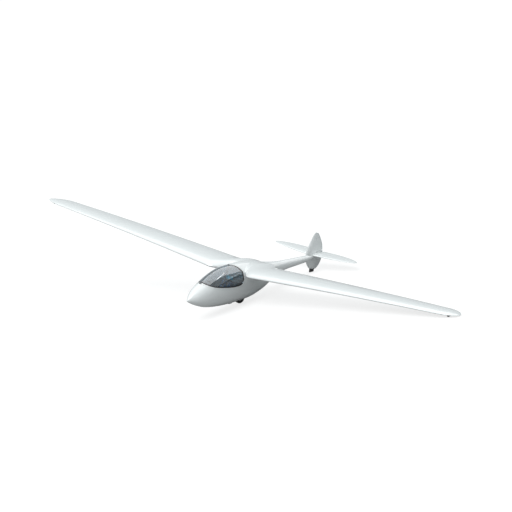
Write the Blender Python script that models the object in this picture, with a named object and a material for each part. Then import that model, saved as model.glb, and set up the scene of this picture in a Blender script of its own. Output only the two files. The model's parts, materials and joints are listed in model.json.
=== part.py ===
"""Single-seat sailplane: shoulder wing, bubble canopy, slender boom and leaf-shaped fin.

Metres. The pieces are laid out in the aircraft's own frame, x to port, y aft and z up,
with y = 0 and z = 0 at the wing's leading edge. The whole aircraft then hangs on one
empty that leans it the way it parks: on the main wheel, the tail skid and the port
wingtip's skid.
"""

import math

import bmesh
import bpy
import numpy as np
from mathutils import Matrix, Vector

# Fuselage stations: distance aft of the wing's leading edge, crown, keel, half width
NOSE_Y = -1.68
FUSELAGE = (
    (NOSE_Y, -0.473, -0.473, 0.0),
    (-1.60, -0.358, -0.530, 0.075),
    (-1.35, -0.164, -0.656, 0.220),
    (-1.00, 0.006, -0.778, 0.306),
    (-0.60, 0.168, -0.845, 0.346),
    (-0.20, 0.247, -0.878, 0.367),
    (0.30, 0.252, -0.890, 0.369),
    (0.80, 0.217, -0.874, 0.365),
    (1.20, 0.145, -0.806, 0.330),
    (1.60, 0.048, -0.698, 0.260),
    (2.00, -0.032, -0.525, 0.180),
    (2.40, -0.082, -0.406, 0.135),
    (2.80, -0.108, -0.380, 0.117),
    (3.60, -0.155, -0.353, 0.098),
    (3.85, -0.165, -0.335, 0.080),
    (4.05, -0.185, -0.300, 0.044),
)
WIDEST_AT = 0.48
SECTION_POWER = 0.95
AROUND = 40
WALL = 0.022
COCKPIT_END = 0.40
BOOM_START = 2.40
BOOM_END = 3.60
CONE_END = 4.05
GAP = 0.0003
FIT_GAP = 0.0007

# Canopy: rim seen from the side (y, z), rear edge seen from above (x, y)
CANOPY_FRONT = -1.12
CANOPY_SILL = (
    (-1.085, -0.082),
    (-0.995, -0.124),
    (-0.885, -0.166),
    (-0.765, -0.196),
    (-0.600, -0.229),
    (-0.370, -0.267),
    (-0.120, -0.300),
    (0.100, -0.308),
    (0.215, -0.298),
    (0.285, -0.262),
    (0.322, -0.205),
)
CANOPY_REAR_TOP = ((0.0, 0.067), (0.06, 0.112), (0.12, 0.176), (0.185, 0.246), (0.25, 0.318), (0.30, 0.37))
CANOPY_REAR = 0.345
CANOPY_GAP = 0.003
CANOPY_CLEAR = 0.008
FRAME_WIDTH = 0.034
FRAME_DEEP = 0.020
GLASS_THICK = 0.006
BOW_Y = -0.405
BOW_WIDE = 0.026
CANOPY_AXIS_Y = -1.145
CANOPY_AXIS_UP = 0.012
HINGE_HALF = 0.040
KNUCKLE_HALF = 0.024
KNUCKLE_RADIUS = 0.010
LIP_WIDE = 0.030
LIP_HIGH = 0.007

# Wing
SEMI_SPAN = 7.5
ROOT_CHORD = 1.42
TIP_CHORD = 0.66
LEADING_SWEEP = 0.12
DIHEDRAL = math.radians(4.4)
BOW = 0.030
WASH = 0.02
ROOT_THICKNESS = 0.15
TIP_THICKNESS = 0.12
CAMBER = 0.030
TIP_ROUND_FROM = 6.9
TIP_ANGLES = (0, 16, 31, 45, 58, 70, 81)
PANEL_ROOT = 0.80
FILLET_FROM = 0.34
FILLET_FRONT = 0.42
FILLET_REAR = 0.31
FILLET_THICKNESS = 0.05

# Ailerons and airbrakes
AILERON_SPAN = (4.60, 7.00)
AILERON_AT = 0.75
AILERON_HINGES = (4.95, 5.80, 6.65)
BRAKE_SPAN = (2.55, 3.75)
BRAKE_AT = 0.52
BRAKE_THICK = 0.008
BRAKE_SLOT = 0.018
BRAKE_CAP = 0.030
BRAKE_DEEP = 0.095
SURFACE_GAP = 0.006
BORE_SIDES = 24
BORE_BEYOND = 0.002
BEHIND_WING = 2.0

# Tail: fin leaf edges as (z, y), seen from the side
LEAF_TOP = 0.49
LEAF_BOTTOM = -0.68
LEAF_FRONT = (
    (LEAF_BOTTOM, 4.02),
    (-0.60, 3.84),
    (-0.42, 3.69),
    (-0.24, 3.63),
    (-0.06, 3.64),
    (0.12, 3.75),
    (0.28, 3.86),
    (0.40, 3.95),
    (LEAF_TOP, 4.10),
)
LEAF_REAR = (
    (LEAF_BOTTOM, 4.02),
    (-0.62, 4.23),
    (-0.45, 4.39),
    (-0.25, 4.45),
    (-0.05, 4.45),
    (0.22, 4.35),
    (0.44, 4.20),
    (LEAF_TOP, 4.10),
)
LEAF_THICKNESS = 0.12
RUDDER_AXIS_Y = 4.10
RUDDER_UPPER_FROM = -0.115
RUDDER_LOWER_TO = -0.275
POST_RADIUS = 0.008
POST_HOLE = 0.014

TAIL_SEMI = 1.545
TAIL_CHORD = 0.62
TAIL_FRONT = 3.90
TAIL_PIVOT = 0.33
TAIL_Z = -0.195
TAIL_DIHEDRAL = math.radians(2.4)
TAIL_THICKNESS = 0.10
TAIL_ROOT = 0.010
ELEVATOR_ROOT = 0.032
ELEVATOR_TIP = 1.45
ELEVATOR_HINGE_ROOT = 4.34
ELEVATOR_HINGES = (0.30, 0.95)
BEHIND_TAIL = 4.9

# Ground gear
WHEEL_Y = 0.62
WHEEL_RADIUS = 0.18
WHEEL_SHOWS = 0.125
TYRE_WIDE = 0.12
RIM_RADIUS = 0.105
HUB_WIDE = 0.085
AXLE_RADIUS = 0.012
WELL_HALF = 0.086
WELL_CLEAR = 0.022
FORK_X = 0.072
FORK_THICK = 0.006
FORK_REACH = 0.035
TOW_HALF = 0.018
TOW_FRONT = 0.13
TOW_REAR = 0.27
TOW_DROP = 0.042
TOW_EYE = 0.012
SKID_HALF = 0.020
SKID_DROP = 0.045
SKID_RISE = 0.085
SKID_FRONT = 3.87
SKID_REAR = 4.065
TIP_SKID_X = 7.22
TIP_SKID_SIZE = (0.045, 0.24, 0.05)

# Cockpit
SEAT_THICK = 0.008
SEAT_LINE = (
    (-0.84, -0.640),
    (-0.74, -0.655),
    (-0.56, -0.745),
    (-0.36, -0.765),
    (-0.27, -0.735),
    (0.09, -0.215),
)
SEAT_CUSHION_THICK = 0.065
CUSHION_HALF = 0.20
BACK_SHARES = (0.08, 0.92)
BACK_THICK = 0.060
HEADREST_AT = (0.107, -0.1458)
HEADREST_SIZE = (0.24, 0.06, 0.105)
SHELF_FRONT = 0.095
SHELF_Z = -0.215
STICK_Y = -0.60
PANEL_Y = -0.68
PANEL_THICK = 0.006
PANEL_LOW = -0.46
PANEL_SHOULDER = -0.27
PANEL_ARCH = (0.185, -0.20, 0.125)
HOOD_THICK = 0.004
HOOD_SPAN = (-0.80, -0.655)
PEDAL_Y = -1.18
PEDAL_Z = -0.52
PEDAL_X = 0.11
PEDAL_HALF = 0.045
PEDAL_TALL = 0.08
CONSOLE_INNER = 0.235
CONSOLE_FRONT = -0.60
CONSOLE_REAR = -0.083
CONSOLE_TOP = -0.425
CONSOLE_THICK = 0.020
LEVER_X = 0.262
BEYOND = 0.4


def monotone(xs, ys):
    """A smooth curve through the points that never overshoots them."""
    xs = np.asarray(xs, float)
    ys = np.asarray(ys, float)
    step = np.diff(xs)
    rise = np.diff(ys) / step
    slope = np.zeros(len(xs))
    for i in range(1, len(xs) - 1):
        if rise[i - 1] * rise[i] > 0:
            before = 2 * step[i] + step[i - 1]
            after = step[i] + 2 * step[i - 1]
            slope[i] = (before + after) / (before / rise[i - 1] + after / rise[i])
    slope[0] = end_slope(step[0], step[1], rise[0], rise[1])
    slope[-1] = end_slope(step[-1], step[-2], rise[-1], rise[-2])

    def curve(x):
        x = np.clip(x, xs[0], xs[-1])
        i = np.clip(np.searchsorted(xs, x) - 1, 0, len(step) - 1)
        t = (x - xs[i]) / step[i]
        value = ys[i] * (1 + 2 * t) * (1 - t) ** 2 + ys[i + 1] * t * t * (3 - 2 * t)
        bend = slope[i] * t * (1 - t) ** 2 - slope[i + 1] * t * t * (1 - t)
        return value + step[i] * bend

    return curve


def end_slope(near, far, rise, next_rise):
    """The slope at a curve's end, held back so that the curve stays monotone."""
    slope = ((2 * near + far) * rise - near * next_rise) / (near + far)
    if slope * rise <= 0:
        return 0.0
    if rise * next_rise <= 0 and abs(slope) > 3 * abs(rise):
        return 3 * rise
    return slope


def from_nose(column):
    """One fuselage size as a curve over y, with a rounded tip."""
    stations = np.array(FUSELAGE)
    curve = monotone(np.sqrt(stations[:, 0] - NOSE_Y), stations[:, column])
    return lambda y: curve(math.sqrt(max(y - NOSE_Y, 0.0)))


crown = from_nose(1)
keel = from_nose(2)
half_width = from_nose(3)


def fuselage_ring(y, inset=0.0):
    """The fuselage's cross-section at y, drawn in by inset."""
    top = crown(y) - inset
    bottom = keel(y) + inset
    wide = half_width(y) - inset
    middle = keel(y) + (crown(y) - keel(y)) * WIDEST_AT
    angle = np.arange(AROUND) * 2 * math.pi / AROUND
    side = np.sign(np.cos(angle)) * np.abs(np.cos(angle)) ** SECTION_POWER
    lift = np.abs(np.sin(angle)) ** SECTION_POWER
    z = np.where(np.sin(angle) > 0, middle + (top - middle) * lift, middle - (middle - bottom) * lift)
    return np.stack([wide * side, np.full(AROUND, y), z], axis=-1)


def stations_between(start, end, count):
    """Stations along the fuselage, closer together towards the nose."""
    roots = np.linspace(math.sqrt(start - NOSE_Y), math.sqrt(end - NOSE_Y), count)
    return NOSE_Y + roots**2


def material(name, colour, roughness, metallic=0.0):
    """A plain Principled material."""
    made = bpy.data.materials.new(name)
    made.use_nodes = True
    shader = made.node_tree.nodes["Principled BSDF"]
    shader.inputs["Base Color"].default_value = (*colour, 1.0)
    shader.inputs["Roughness"].default_value = roughness
    shader.inputs["Metallic"].default_value = metallic
    return made


def new_object(name, mesh_edit, finish):
    """An object made from a bmesh, with its faces turned outwards."""
    bmesh.ops.recalc_face_normals(mesh_edit, faces=mesh_edit.faces[:])
    mesh = bpy.data.meshes.new(name)
    mesh_edit.to_mesh(mesh)
    mesh_edit.free()
    made = bpy.data.objects.new(name, mesh)
    bpy.context.scene.collection.objects.link(made)
    if finish:
        mesh.materials.append(finish)
    return made


def loft(name, rings, finish=None):
    """A closed solid through rings of equal count. A ring of one point is a pole."""
    edit = bmesh.new()
    rows = [[edit.verts.new(point) for point in ring] for ring in rings]
    for low, high in zip(rows, rows[1:]):
        count = max(len(low), len(high))
        for i in range(count):
            j = (i + 1) % count
            corners = [low[i % len(low)], low[j % len(low)], high[j % len(high)], high[i % len(high)]]
            edit.faces.new(list(dict.fromkeys(corners)))
    for row in (rows[0], rows[-1]):
        if len(row) > 2:
            edit.faces.new(row)
    return new_object(name, edit, finish)


def box(name, low, high, finish=None):
    """A box between two corners."""
    edit = bmesh.new()
    low = Vector(low)
    high = Vector(high)
    size = high - low
    place = Matrix.Translation((low + high) / 2) @ Matrix.Diagonal((*size, 1))
    bmesh.ops.create_cube(edit, size=1.0, matrix=place)
    return new_object(name, edit, finish)


def turned_box(name, centre, across, up, size, finish=None):
    """A box whose first side lies along across and whose last lies nearest to up."""
    first = Vector(across).normalized()
    second = Vector(up).cross(first).normalized()
    third = first.cross(second)
    turn = Matrix((first, second, third)).transposed().to_4x4()
    edit = bmesh.new()
    place = Matrix.Translation(centre) @ turn @ Matrix.Diagonal((*size, 1))
    bmesh.ops.create_cube(edit, size=1.0, matrix=place)
    return new_object(name, edit, finish)


def rod(name, start, end, radius, finish=None, sides=16, end_radius=None):
    """A round bar, or a cone, between two points."""
    start = Vector(start)
    end = Vector(end)
    turn = (end - start).to_track_quat("Z", "Y").to_matrix().to_4x4()
    edit = bmesh.new()
    bmesh.ops.create_cone(
        edit,
        cap_ends=True,
        segments=sides,
        radius1=radius,
        radius2=radius if end_radius is None else end_radius,
        depth=(end - start).length,
        matrix=Matrix.Translation((start + end) / 2) @ turn,
    )
    return new_object(name, edit, finish)


def turned(name, profile, centre, sides, finish=None):
    """A wheel shape: a closed (x, radius) profile spun about the x axis through centre."""
    edit = bmesh.new()
    rows = []
    for i in range(sides):
        angle = 2 * math.pi * (i + 0.5) / sides
        row = []
        for across, radius in profile:
            point = Vector((across, radius * math.cos(angle), radius * math.sin(angle)))
            row.append(edit.verts.new(point + Vector(centre)))
        rows.append(row)
    for i in range(sides):
        near = rows[i]
        far = rows[(i + 1) % sides]
        for j in range(len(profile)):
            k = (j + 1) % len(profile)
            edit.faces.new((near[j], near[k], far[k], far[j]))
    return new_object(name, edit, finish)


def prism(name, outline, axis, low, high, finish=None):
    """A flat outline pushed along x, y or z. Its points hold the other two coordinates in order."""
    rings = []
    for depth in (low, high):
        rings.append([point[:axis] + (depth,) + point[axis:] for point in map(tuple, outline)])
    return loft(name, rings, finish)


def combine(base, other, operation):
    """Cuts, joins or intersects two objects for good and drops the second."""
    change = base.modifiers.new(operation.title(), "BOOLEAN")
    change.operation = operation
    change.solver = "EXACT"
    change.object = other
    graph = bpy.context.evaluated_depsgraph_get()
    result = bpy.data.meshes.new_from_object(base.evaluated_get(graph))
    base.modifiers.clear()
    base.data = result
    bpy.data.objects.remove(other)
    return base


def cut(base, other):
    return combine(base, other, "DIFFERENCE")


def join(base, other):
    return combine(base, other, "UNION")


def keep_within(base, other):
    return combine(base, other, "INTERSECT")


def offset_outline(points, distance):
    """A closed outline moved outwards by distance, or inwards where it is negative."""
    points = np.array(points, float)
    ahead = np.roll(points, -1, axis=0) - points
    ahead /= np.linalg.norm(ahead, axis=1)[:, None]
    area = np.sum(points[:, 0] * np.roll(points[:, 1], -1) - points[:, 1] * np.roll(points[:, 0], -1))
    turn = 1.0 if area > 0 else -1.0
    normal = np.stack([ahead[:, 1], -ahead[:, 0]], axis=-1) * turn
    before = np.roll(normal, 1, axis=0)
    middle = normal + before
    middle /= np.linalg.norm(middle, axis=1)[:, None]
    reach = distance / np.sum(middle * normal, axis=1)
    return [tuple(point) for point in points + middle * reach[:, None]]


def canopy_axis():
    """A point on the canopy's hinge pin, across the nose just ahead of its rim."""
    return Vector((0.0, CANOPY_AXIS_Y, crown(CANOPY_AXIS_Y) + CANOPY_AXIS_UP))


def canopy_region(offset):
    """The space inside the canopy's rim, grown by offset: its side view cut with its top view."""
    axis = canopy_axis()
    reach = CANOPY_REAR - axis.y
    rear = []
    for z in np.linspace(-0.15, 0.6, 12):
        rear.append((axis.y + math.sqrt(reach**2 - (z - axis.z) ** 2), z))
    side = [(CANOPY_FRONT, 0.6), (CANOPY_FRONT, crown(CANOPY_FRONT) - 0.012), *CANOPY_SILL, *rear]
    top = [(-0.7, -2.0), (0.7, -2.0), (0.7, 0.77)]
    top += [(x, y) for x, y in reversed(CANOPY_REAR_TOP)]
    top += [(-x, y) for x, y in CANOPY_REAR_TOP[1:]]
    top.append((-0.7, 0.77))
    region = prism("canopy_region", offset_outline(side, offset), 0, -0.6, 0.6)
    return keep_within(region, prism("canopy_top", offset_outline(top, offset), 2, -0.5, 0.55))


COCKPIT_RINGS = stations_between(NOSE_Y, COCKPIT_END, 22)


def cockpit_hull(name, inset, end=COCKPIT_END, finish=None, start=1):
    """The front fuselage as a solid, drawn in by inset and running to end."""
    rings = [fuselage_ring(y, inset) for y in COCKPIT_RINGS[start:-1]]
    rings.append(fuselage_ring(min(end, COCKPIT_END), inset))
    if end > COCKPIT_END:
        rings.append(fuselage_ring(end, inset))
    tip = [(0.0, NOSE_Y + inset, FUSELAGE[0][1])]
    return loft(name, [tip, *rings] if start == 1 else rings, finish)


def cockpit_space(name, gap):
    """The room inside the front fuselage's wall, less a gap."""
    return cockpit_hull(name, WALL + gap, COCKPIT_END - GAP if gap else COCKPIT_END + 0.05, start=4)


def build_cockpit_shell(finish):
    shell = cockpit_hull("cockpit_shell", 0.0, finish=finish)
    band = cockpit_hull("lip", -LIP_HIGH, COCKPIT_END, start=2)
    band = keep_within(band, canopy_region(LIP_WIDE))
    shell = join(shell, band)
    shell = cut(shell, cockpit_space("room", 0.0))
    shell = cut(shell, canopy_region(0.0))
    return cut(shell, hinge_seat(0.0))


def hinge_seat(gap):
    """The pocket in the rim's front that takes the canopy's hinge, less a gap."""
    axis = canopy_axis()
    low = (-HINGE_HALF + gap - 0.001, axis.y - 0.031 + gap, axis.z - 0.0165 + gap)
    return box("hinge_seat", low, (HINGE_HALF - gap + 0.001, CANOPY_FRONT + 0.02, axis.z + 0.05))


def canopy_skin(name, outer, inner, finish):
    """A curved sheet between two depths under the fuselage's surface."""
    skin = cockpit_hull(name, outer, finish=finish, start=3)
    return cut(skin, cockpit_hull("inside", inner, COCKPIT_END + 0.05, start=3))


def build_canopy_frame(finish):
    frame = canopy_skin("canopy_frame", 0.0, FRAME_DEEP, finish)
    frame = keep_within(frame, canopy_region(-CANOPY_GAP))
    frame = cut(frame, canopy_region(-FRAME_WIDTH))
    bow = canopy_skin("bow", GLASS_THICK + GAP, FRAME_DEEP - 0.003, None)
    slab = box("slab", (-0.5, BOW_Y - BOW_WIDE / 2, -0.5), (0.5, BOW_Y + BOW_WIDE / 2, 0.5))
    bow = keep_within(bow, slab)
    bow = keep_within(bow, canopy_region(-FRAME_WIDTH + 0.006))
    frame = join(frame, bow)
    axis = canopy_axis()
    half = Vector((KNUCKLE_HALF, 0, 0))
    frame = join(frame, rod("knuckle", axis - half, axis + half, KNUCKLE_RADIUS))
    low = (-0.020, axis.y, axis.z - 0.004)
    high = (0.020, CANOPY_FRONT + 0.030, axis.z + 0.008)
    return join(frame, box("tongue", low, high))


def build_canopy_glass(finish):
    glass = canopy_skin("canopy_glass", 0.0, GLASS_THICK, finish)
    return keep_within(glass, canopy_region(-FRAME_WIDTH - GAP))


def build_canopy_hinge(finish):
    """Two ears and a foot on the nose that hold the canopy's knuckle between them."""
    axis = canopy_axis()
    low = (-HINGE_HALF, axis.y - 0.030, axis.z - 0.0162)
    high = (HINGE_HALF, axis.y + 0.012, axis.z + 0.010)
    hinge = box("canopy_hinge", low, high, finish)
    low = (-KNUCKLE_HALF - 0.0005, axis.y - KNUCKLE_RADIUS - 0.0025, axis.z - 0.016)
    cut(hinge, box("mouth", low, (KNUCKLE_HALF + 0.0005, axis.y + 0.05, axis.z + 0.05)))
    skin = cut(cockpit_hull("nose_skin", -GAP, start=1), hinge_seat(GAP))
    return cut(hinge, skin)


def wing_front(x):
    return LEADING_SWEEP * abs(x) / SEMI_SPAN


def straight_chord(x):
    return ROOT_CHORD + (TIP_CHORD - ROOT_CHORD) * abs(x) / SEMI_SPAN


def wing_edges(x):
    """Leading and trailing edge of the wing at x, with the rounded tip and the root's fillets."""
    x = abs(x)
    chord = straight_chord(x)
    front = wing_front(x)
    rear = front + chord
    if x > TIP_ROUND_FROM:
        u = (x - TIP_ROUND_FROM) / (SEMI_SPAN - TIP_ROUND_FROM)
        shrink = math.sqrt(max(1 - u * u, 0.0))
        pivot = front + 0.35 * chord
        front = pivot - 0.35 * chord * shrink
        rear = pivot + 0.65 * chord * shrink
    spread = fillet(x)
    return front + FILLET_FRONT * spread, rear + FILLET_REAR * spread


def fillet(x):
    """How much of the root fillet shows at x: 1 at the fuselage, 0 at the panel's root."""
    u = (max(abs(x), FILLET_FROM) - FILLET_FROM) / (PANEL_ROOT - FILLET_FROM)
    return (1 - u) ** 2 if u < 1 else 0.0


def thickness_at(x):
    ratio = ROOT_THICKNESS + (TIP_THICKNESS - ROOT_THICKNESS) * abs(x) / SEMI_SPAN
    return ratio + FILLET_THICKNESS * fillet(x)


def section_half(along, thickness):
    """Half thickness of a rounded-nose section, as a share of the chord."""
    powers = 0.2969 * math.sqrt(along) - 0.1260 * along - 0.3516 * along**2
    powers += 0.2843 * along**3 - 0.1036 * along**4
    return 5 * thickness * powers + 0.0012 * along


def camber_line(along):
    return 4 * CAMBER * along * (1 - along)


def wing_rise(x):
    """How far dihedral and a slight upward bow lift the wing at x."""
    share = abs(x) / SEMI_SPAN
    return abs(x) * math.tan(DIHEDRAL) + 4 * BOW * share * (1 - share)


def wing_point(x, along, side):
    """A point on the wing's surface: side is 1 above, -1 below and 0 on the camber line."""
    front, rear = wing_edges(x)
    chord = rear - front
    z = wing_rise(x) - WASH * along + camber_line(along) * chord
    z += side * section_half(along, thickness_at(x)) * chord
    return Vector((x, front + along * chord, z))


def wing_ring(x, half_count=15):
    """The wing's section at x, from the trailing edge over the top and back below."""
    shares = [0.5 * (1 - math.cos(math.pi * i / half_count)) for i in range(half_count + 1)]
    upper = [wing_point(x, share, 1) for share in reversed(shares)]
    return upper + [wing_point(x, share, -1) for share in shares[1:]]


def hinge_frame(name, point, direction, parent):
    """An empty on a joint's axis, its own z along the axis."""
    empty = bpy.data.objects.new(name, None)
    empty.empty_display_size = 0.1
    bpy.context.scene.collection.objects.link(empty)
    empty.parent = parent
    turn = Vector(direction).to_track_quat("Z", "Y").to_matrix().to_4x4()
    empty.matrix_local = Matrix.Translation(point) @ turn
    bpy.context.view_layer.update()
    return empty


def hang(obj, parent):
    """Parents an object and leaves it where the aircraft's frame has it."""
    obj.parent = parent
    if parent.parent is not None:
        obj.matrix_local = parent.matrix_local.inverted()


def aileron_hinge(x):
    """A point on the aileron's hinge line, and the nose radius there."""
    start, end = AILERON_SPAN
    share = (abs(x) - start) / (end - start)
    inner = wing_point(start, AILERON_AT, 0)
    outer = wing_point(end, AILERON_AT, 0)
    inner_radius = section_half(AILERON_AT, thickness_at(start)) * straight_chord(start)
    outer_radius = section_half(AILERON_AT, thickness_at(end)) * straight_chord(end)
    point = inner.lerp(outer, share)
    point.x = abs(x)
    return point, inner_radius + (outer_radius - inner_radius) * share


def flap_ring(centre, radius, upper, lower, nose_count=7):
    """A control surface's section: a round nose about its hinge, then straight to the given points."""
    ring = list(upper)
    for i in range(nose_count):
        angle = math.pi * (0.5 + i / (nose_count - 1))
        step = Vector((0, math.cos(angle) * radius, math.sin(angle) * radius))
        ring.append(centre + step)
    return ring + list(reversed(lower))


def bore_ring(centre, radius, across):
    """A circle about a hinge line, a surface gap wider than the nose that turns in it."""
    reach = (radius + SURFACE_GAP) / math.cos(math.pi / BORE_SIDES)
    ring = []
    for i in range(BORE_SIDES):
        angle = 2 * math.pi * (i + 0.5) / BORE_SIDES
        ring.append(centre + Vector((0, math.cos(angle), 0)) * reach + across * math.sin(angle) * reach)
    return ring


def aileron_ring(x, side):
    centre, radius = aileron_hinge(x)
    shares = (1.0, 0.93, 0.84)
    upper = [wing_point(abs(x), share, 1) for share in shares]
    lower = [wing_point(abs(x), share, -1) for share in shares]
    ring = flap_ring(centre, radius * 0.97, upper, lower)
    return [Vector((point.x * side, point.y, point.z)) for point in ring]


def mirror_x(point, side):
    return Vector((point[0] * side, point[1], point[2]))


def add_hinges(fixed, moving, points, direction, reach, height):
    """Thin plates on the fixed piece that reach into slots of the moving one, square to its axis."""
    along = Vector(direction).normalized()
    for point, back in points:
        back = Vector(back) - along * Vector(back).dot(along)
        middle = Vector(point) + back * 0.5
        long = back.length
        plate = (0.006, height, long + 2 * reach)
        slot = (0.007, 2.0 * height + 0.03, 0.09)
        centre = Vector(point)
        cut(moving, turned_box("slot", centre, direction, back, slot))
        join(fixed, turned_box("plate", middle, direction, back, plate))


def brake_frame(side):
    """The airbrake's middle on the upper skin, its run along the wing and its way up."""
    inner = wing_point(BRAKE_SPAN[0], BRAKE_AT, 1)
    outer = wing_point(BRAKE_SPAN[1], BRAKE_AT, 1)
    along = (mirror_x(outer, side) - mirror_x(inner, side)).normalized()
    station = sum(BRAKE_SPAN) / 2
    lean = wing_point(station, BRAKE_AT + 0.02, 1) - wing_point(station, BRAKE_AT - 0.02, 1)
    up = (along.cross(Vector((0, lean.y, lean.z))) * side).normalized()
    middle = (mirror_x(inner, side) + mirror_x(outer, side)) / 2
    return middle, along, up


def build_wing(side, finish, edge_finish, metal, parked):
    """One wing panel with its aileron, airbrake and wingtip skid."""
    name = "left" if side > 0 else "right"
    spans = [PANEL_ROOT + GAP, 1.6, *BRAKE_SPAN, AILERON_SPAN[0], AILERON_HINGES[1], *tip_spans()]
    rings = [[mirror_x(point, side) for point in wing_ring(x)] for x in spans]
    rings.append([mirror_x(wing_point(SEMI_SPAN - 0.0005, 0.5, 0), side)])
    wing = loft(f"wing_{name}", rings, finish)

    start, end = AILERON_SPAN
    inner = aileron_hinge(start)[0]
    outer = aileron_hinge(end)[0]
    root = side * start
    tip = side * end
    outline = ((root, inner.y), (tip, outer.y), (tip, BEHIND_WING), (root, BEHIND_WING))
    cut(wing, prism("aileron_bay", outline, 2, -0.5, 1.5))
    up = Vector((0, 0, 1))
    ends = [aileron_hinge(x) for x in (start - BORE_BEYOND, end + BORE_BEYOND)]
    cut(wing, loft("aileron_bore", [bore_ring(mirror_x(point, side), radius, up) for point, radius in ends]))
    spans = np.linspace(start + SURFACE_GAP, end - SURFACE_GAP, 3)
    aileron = loft(f"aileron_{name}", [aileron_ring(x, side) for x in spans], finish)
    direction = (mirror_x(outer, side) - mirror_x(inner, side)) * side
    points = []
    for x in AILERON_HINGES:
        point, radius = aileron_hinge(x)
        points.append((mirror_x(point, side), Vector((0, -radius - SURFACE_GAP, 0))))
    add_hinges(wing, aileron, points, direction, 0.012, 0.016)
    hinge = hinge_frame(f"aileron_{name}_hinge", mirror_x(inner, side), direction, parked)
    hang(aileron, hinge)

    middle, along, up = brake_frame(side)
    run = (BRAKE_SPAN[1] - BRAKE_SPAN[0]) / math.cos(DIHEDRAL)
    deep = BRAKE_DEEP + 0.012
    slot = turned_box("slot", middle - up * (deep / 2 - 0.01), along, up, (run, BRAKE_SLOT, deep + 0.02))
    cut(wing, slot)
    long = run + 0.004
    cut(wing, turned_box("recess", middle + up * 0.012, along, up, (long, BRAKE_CAP + 0.005, 0.036)))
    blade_middle = middle - up * (BRAKE_DEEP / 2 + 0.003)
    blade = (run - 0.001, BRAKE_THICK, BRAKE_DEEP)
    brake = turned_box(f"airbrake_{name}", blade_middle, along, up, blade, metal)
    join(brake, turned_box("cap", middle - up * 0.0015, along, up, (long - 0.001, BRAKE_CAP, 0.005)))
    slide = hinge_frame(f"airbrake_{name}_slide", middle, up, parked)
    hang(brake, slide)

    base = wing_point(TIP_SKID_X, 0.36, -1)
    skid = turned_box(
        f"wingtip_skid_{name}",
        mirror_x(base, side) + Vector((0, 0, -0.022)),
        (side * math.cos(DIHEDRAL), 0, math.sin(DIHEDRAL)),
        (0, 0, 1),
        TIP_SKID_SIZE,
        edge_finish,
    )
    bevel_edges(skid, 0.012)
    below = Vector((0, 0, -GAP))
    cut(skid, loft("tip", [[mirror_x(point + below, side) for point in wing_ring(x)] for x in tip_spans()]))
    hang(wing, parked)
    hang(skid, parked)


def tip_spans():
    """Stations along the rounded tip, closer together towards its end."""
    return [TIP_ROUND_FROM + (SEMI_SPAN - TIP_ROUND_FROM) * math.sin(math.radians(a)) for a in TIP_ANGLES]


def bevel_edges(obj, width, segments=2):
    edit = bmesh.new()
    edit.from_mesh(obj.data)
    bmesh.ops.bevel(edit, geom=edit.edges[:], offset=width, segments=segments, affect="EDGES", profile=0.5)
    edit.to_mesh(obj.data)
    edit.free()


def build_centre(finish, parked):
    """The middle fuselage with the wing's stubs, its fillets and the wheel well."""
    stations = [COCKPIT_END + GAP, *np.linspace(0.6, 2.2, 9), BOOM_START]
    body = loft("centre_fuselage", [fuselage_ring(y) for y in stations], finish)
    spans = [PANEL_ROOT, 0.72, 0.65, 0.59, 0.53, 0.48, 0.43, 0.39, 0.35, 0.30]
    spans = [-x for x in spans] + [0.0] + spans[::-1]
    join(body, loft("stub_wing", [wing_ring(x) for x in spans]))
    z = axle_z()
    reach = WHEEL_RADIUS + WELL_CLEAR
    cut(body, box("well", (-WELL_HALF, WHEEL_Y - reach, -1.2), (WELL_HALF, WHEEL_Y + reach, z + reach)))
    hang(body, parked)


def axle_z():
    return keel(WHEEL_Y) - WHEEL_SHOWS + WHEEL_RADIUS


def build_wheel(rubber, metal, parked):
    """The main wheel on its axle between the well's fork plates."""
    centre = Vector((0, WHEEL_Y, axle_z()))
    half = TYRE_WIDE / 2
    crest = WHEEL_RADIUS
    profile = [(-0.036, RIM_RADIUS + GAP), (0.036, RIM_RADIUS + GAP)]
    deep = (crest - RIM_RADIUS) / 2
    for i in range(11):
        angle = math.radians(-30 + 240 * i / 10)
        profile.append((half * math.cos(angle), RIM_RADIUS + deep + deep * math.sin(angle)))
    tyre = turned("main_tyre", profile, centre, 36, rubber)
    hub_profile = (
        (-HUB_WIDE / 2, 0.0130),
        (-HUB_WIDE / 2, 0.034),
        (-0.020, 0.040),
        (-0.020, 0.088),
        (-0.036, 0.092),
        (-0.036, RIM_RADIUS),
        (0.036, RIM_RADIUS),
        (0.036, 0.092),
        (0.020, 0.088),
        (0.020, 0.040),
        (HUB_WIDE / 2, 0.034),
        (HUB_WIDE / 2, 0.0130),
    )
    hub = turned("main_hub", hub_profile, centre, 36, metal)
    spin = hinge_frame("main_wheel_axis", centre, (1, 0, 0), parked)
    hang(tyre, spin)
    hang(hub, spin)
    half_axle = Vector((FORK_X - GAP, 0, 0))
    axle = rod("main_axle", centre - half_axle, centre + half_axle, AXLE_RADIUS, metal, 24)
    hang(axle, parked)
    top = axle_z() + WHEEL_RADIUS + WELL_CLEAR - GAP
    outer = FORK_X + FORK_THICK
    low = (-outer, WHEEL_Y - FORK_REACH, centre.z - FORK_REACH)
    fork = box("wheel_fork", low, (outer, WHEEL_Y + FORK_REACH, top), metal)
    cut(fork, box("gap", (-FORK_X, WHEEL_Y - 0.1, centre.z - 0.1), (FORK_X, WHEEL_Y + 0.1, top - 0.006)))
    hang(fork, parked)


def leaf_edge(points):
    """A fin edge as a curve over z that rounds off at the top and the bottom."""
    middle = (LEAF_TOP + LEAF_BOTTOM) / 2
    half = (LEAF_TOP - LEAF_BOTTOM) / 2
    angles = [math.asin(max(-1.0, min(1.0, (z - middle) / half))) for z, _ in points]
    curve = monotone(angles, [y for _, y in points])
    return lambda z: float(curve(math.asin(max(-1.0, min(1.0, (z - middle) / half)))))


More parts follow.
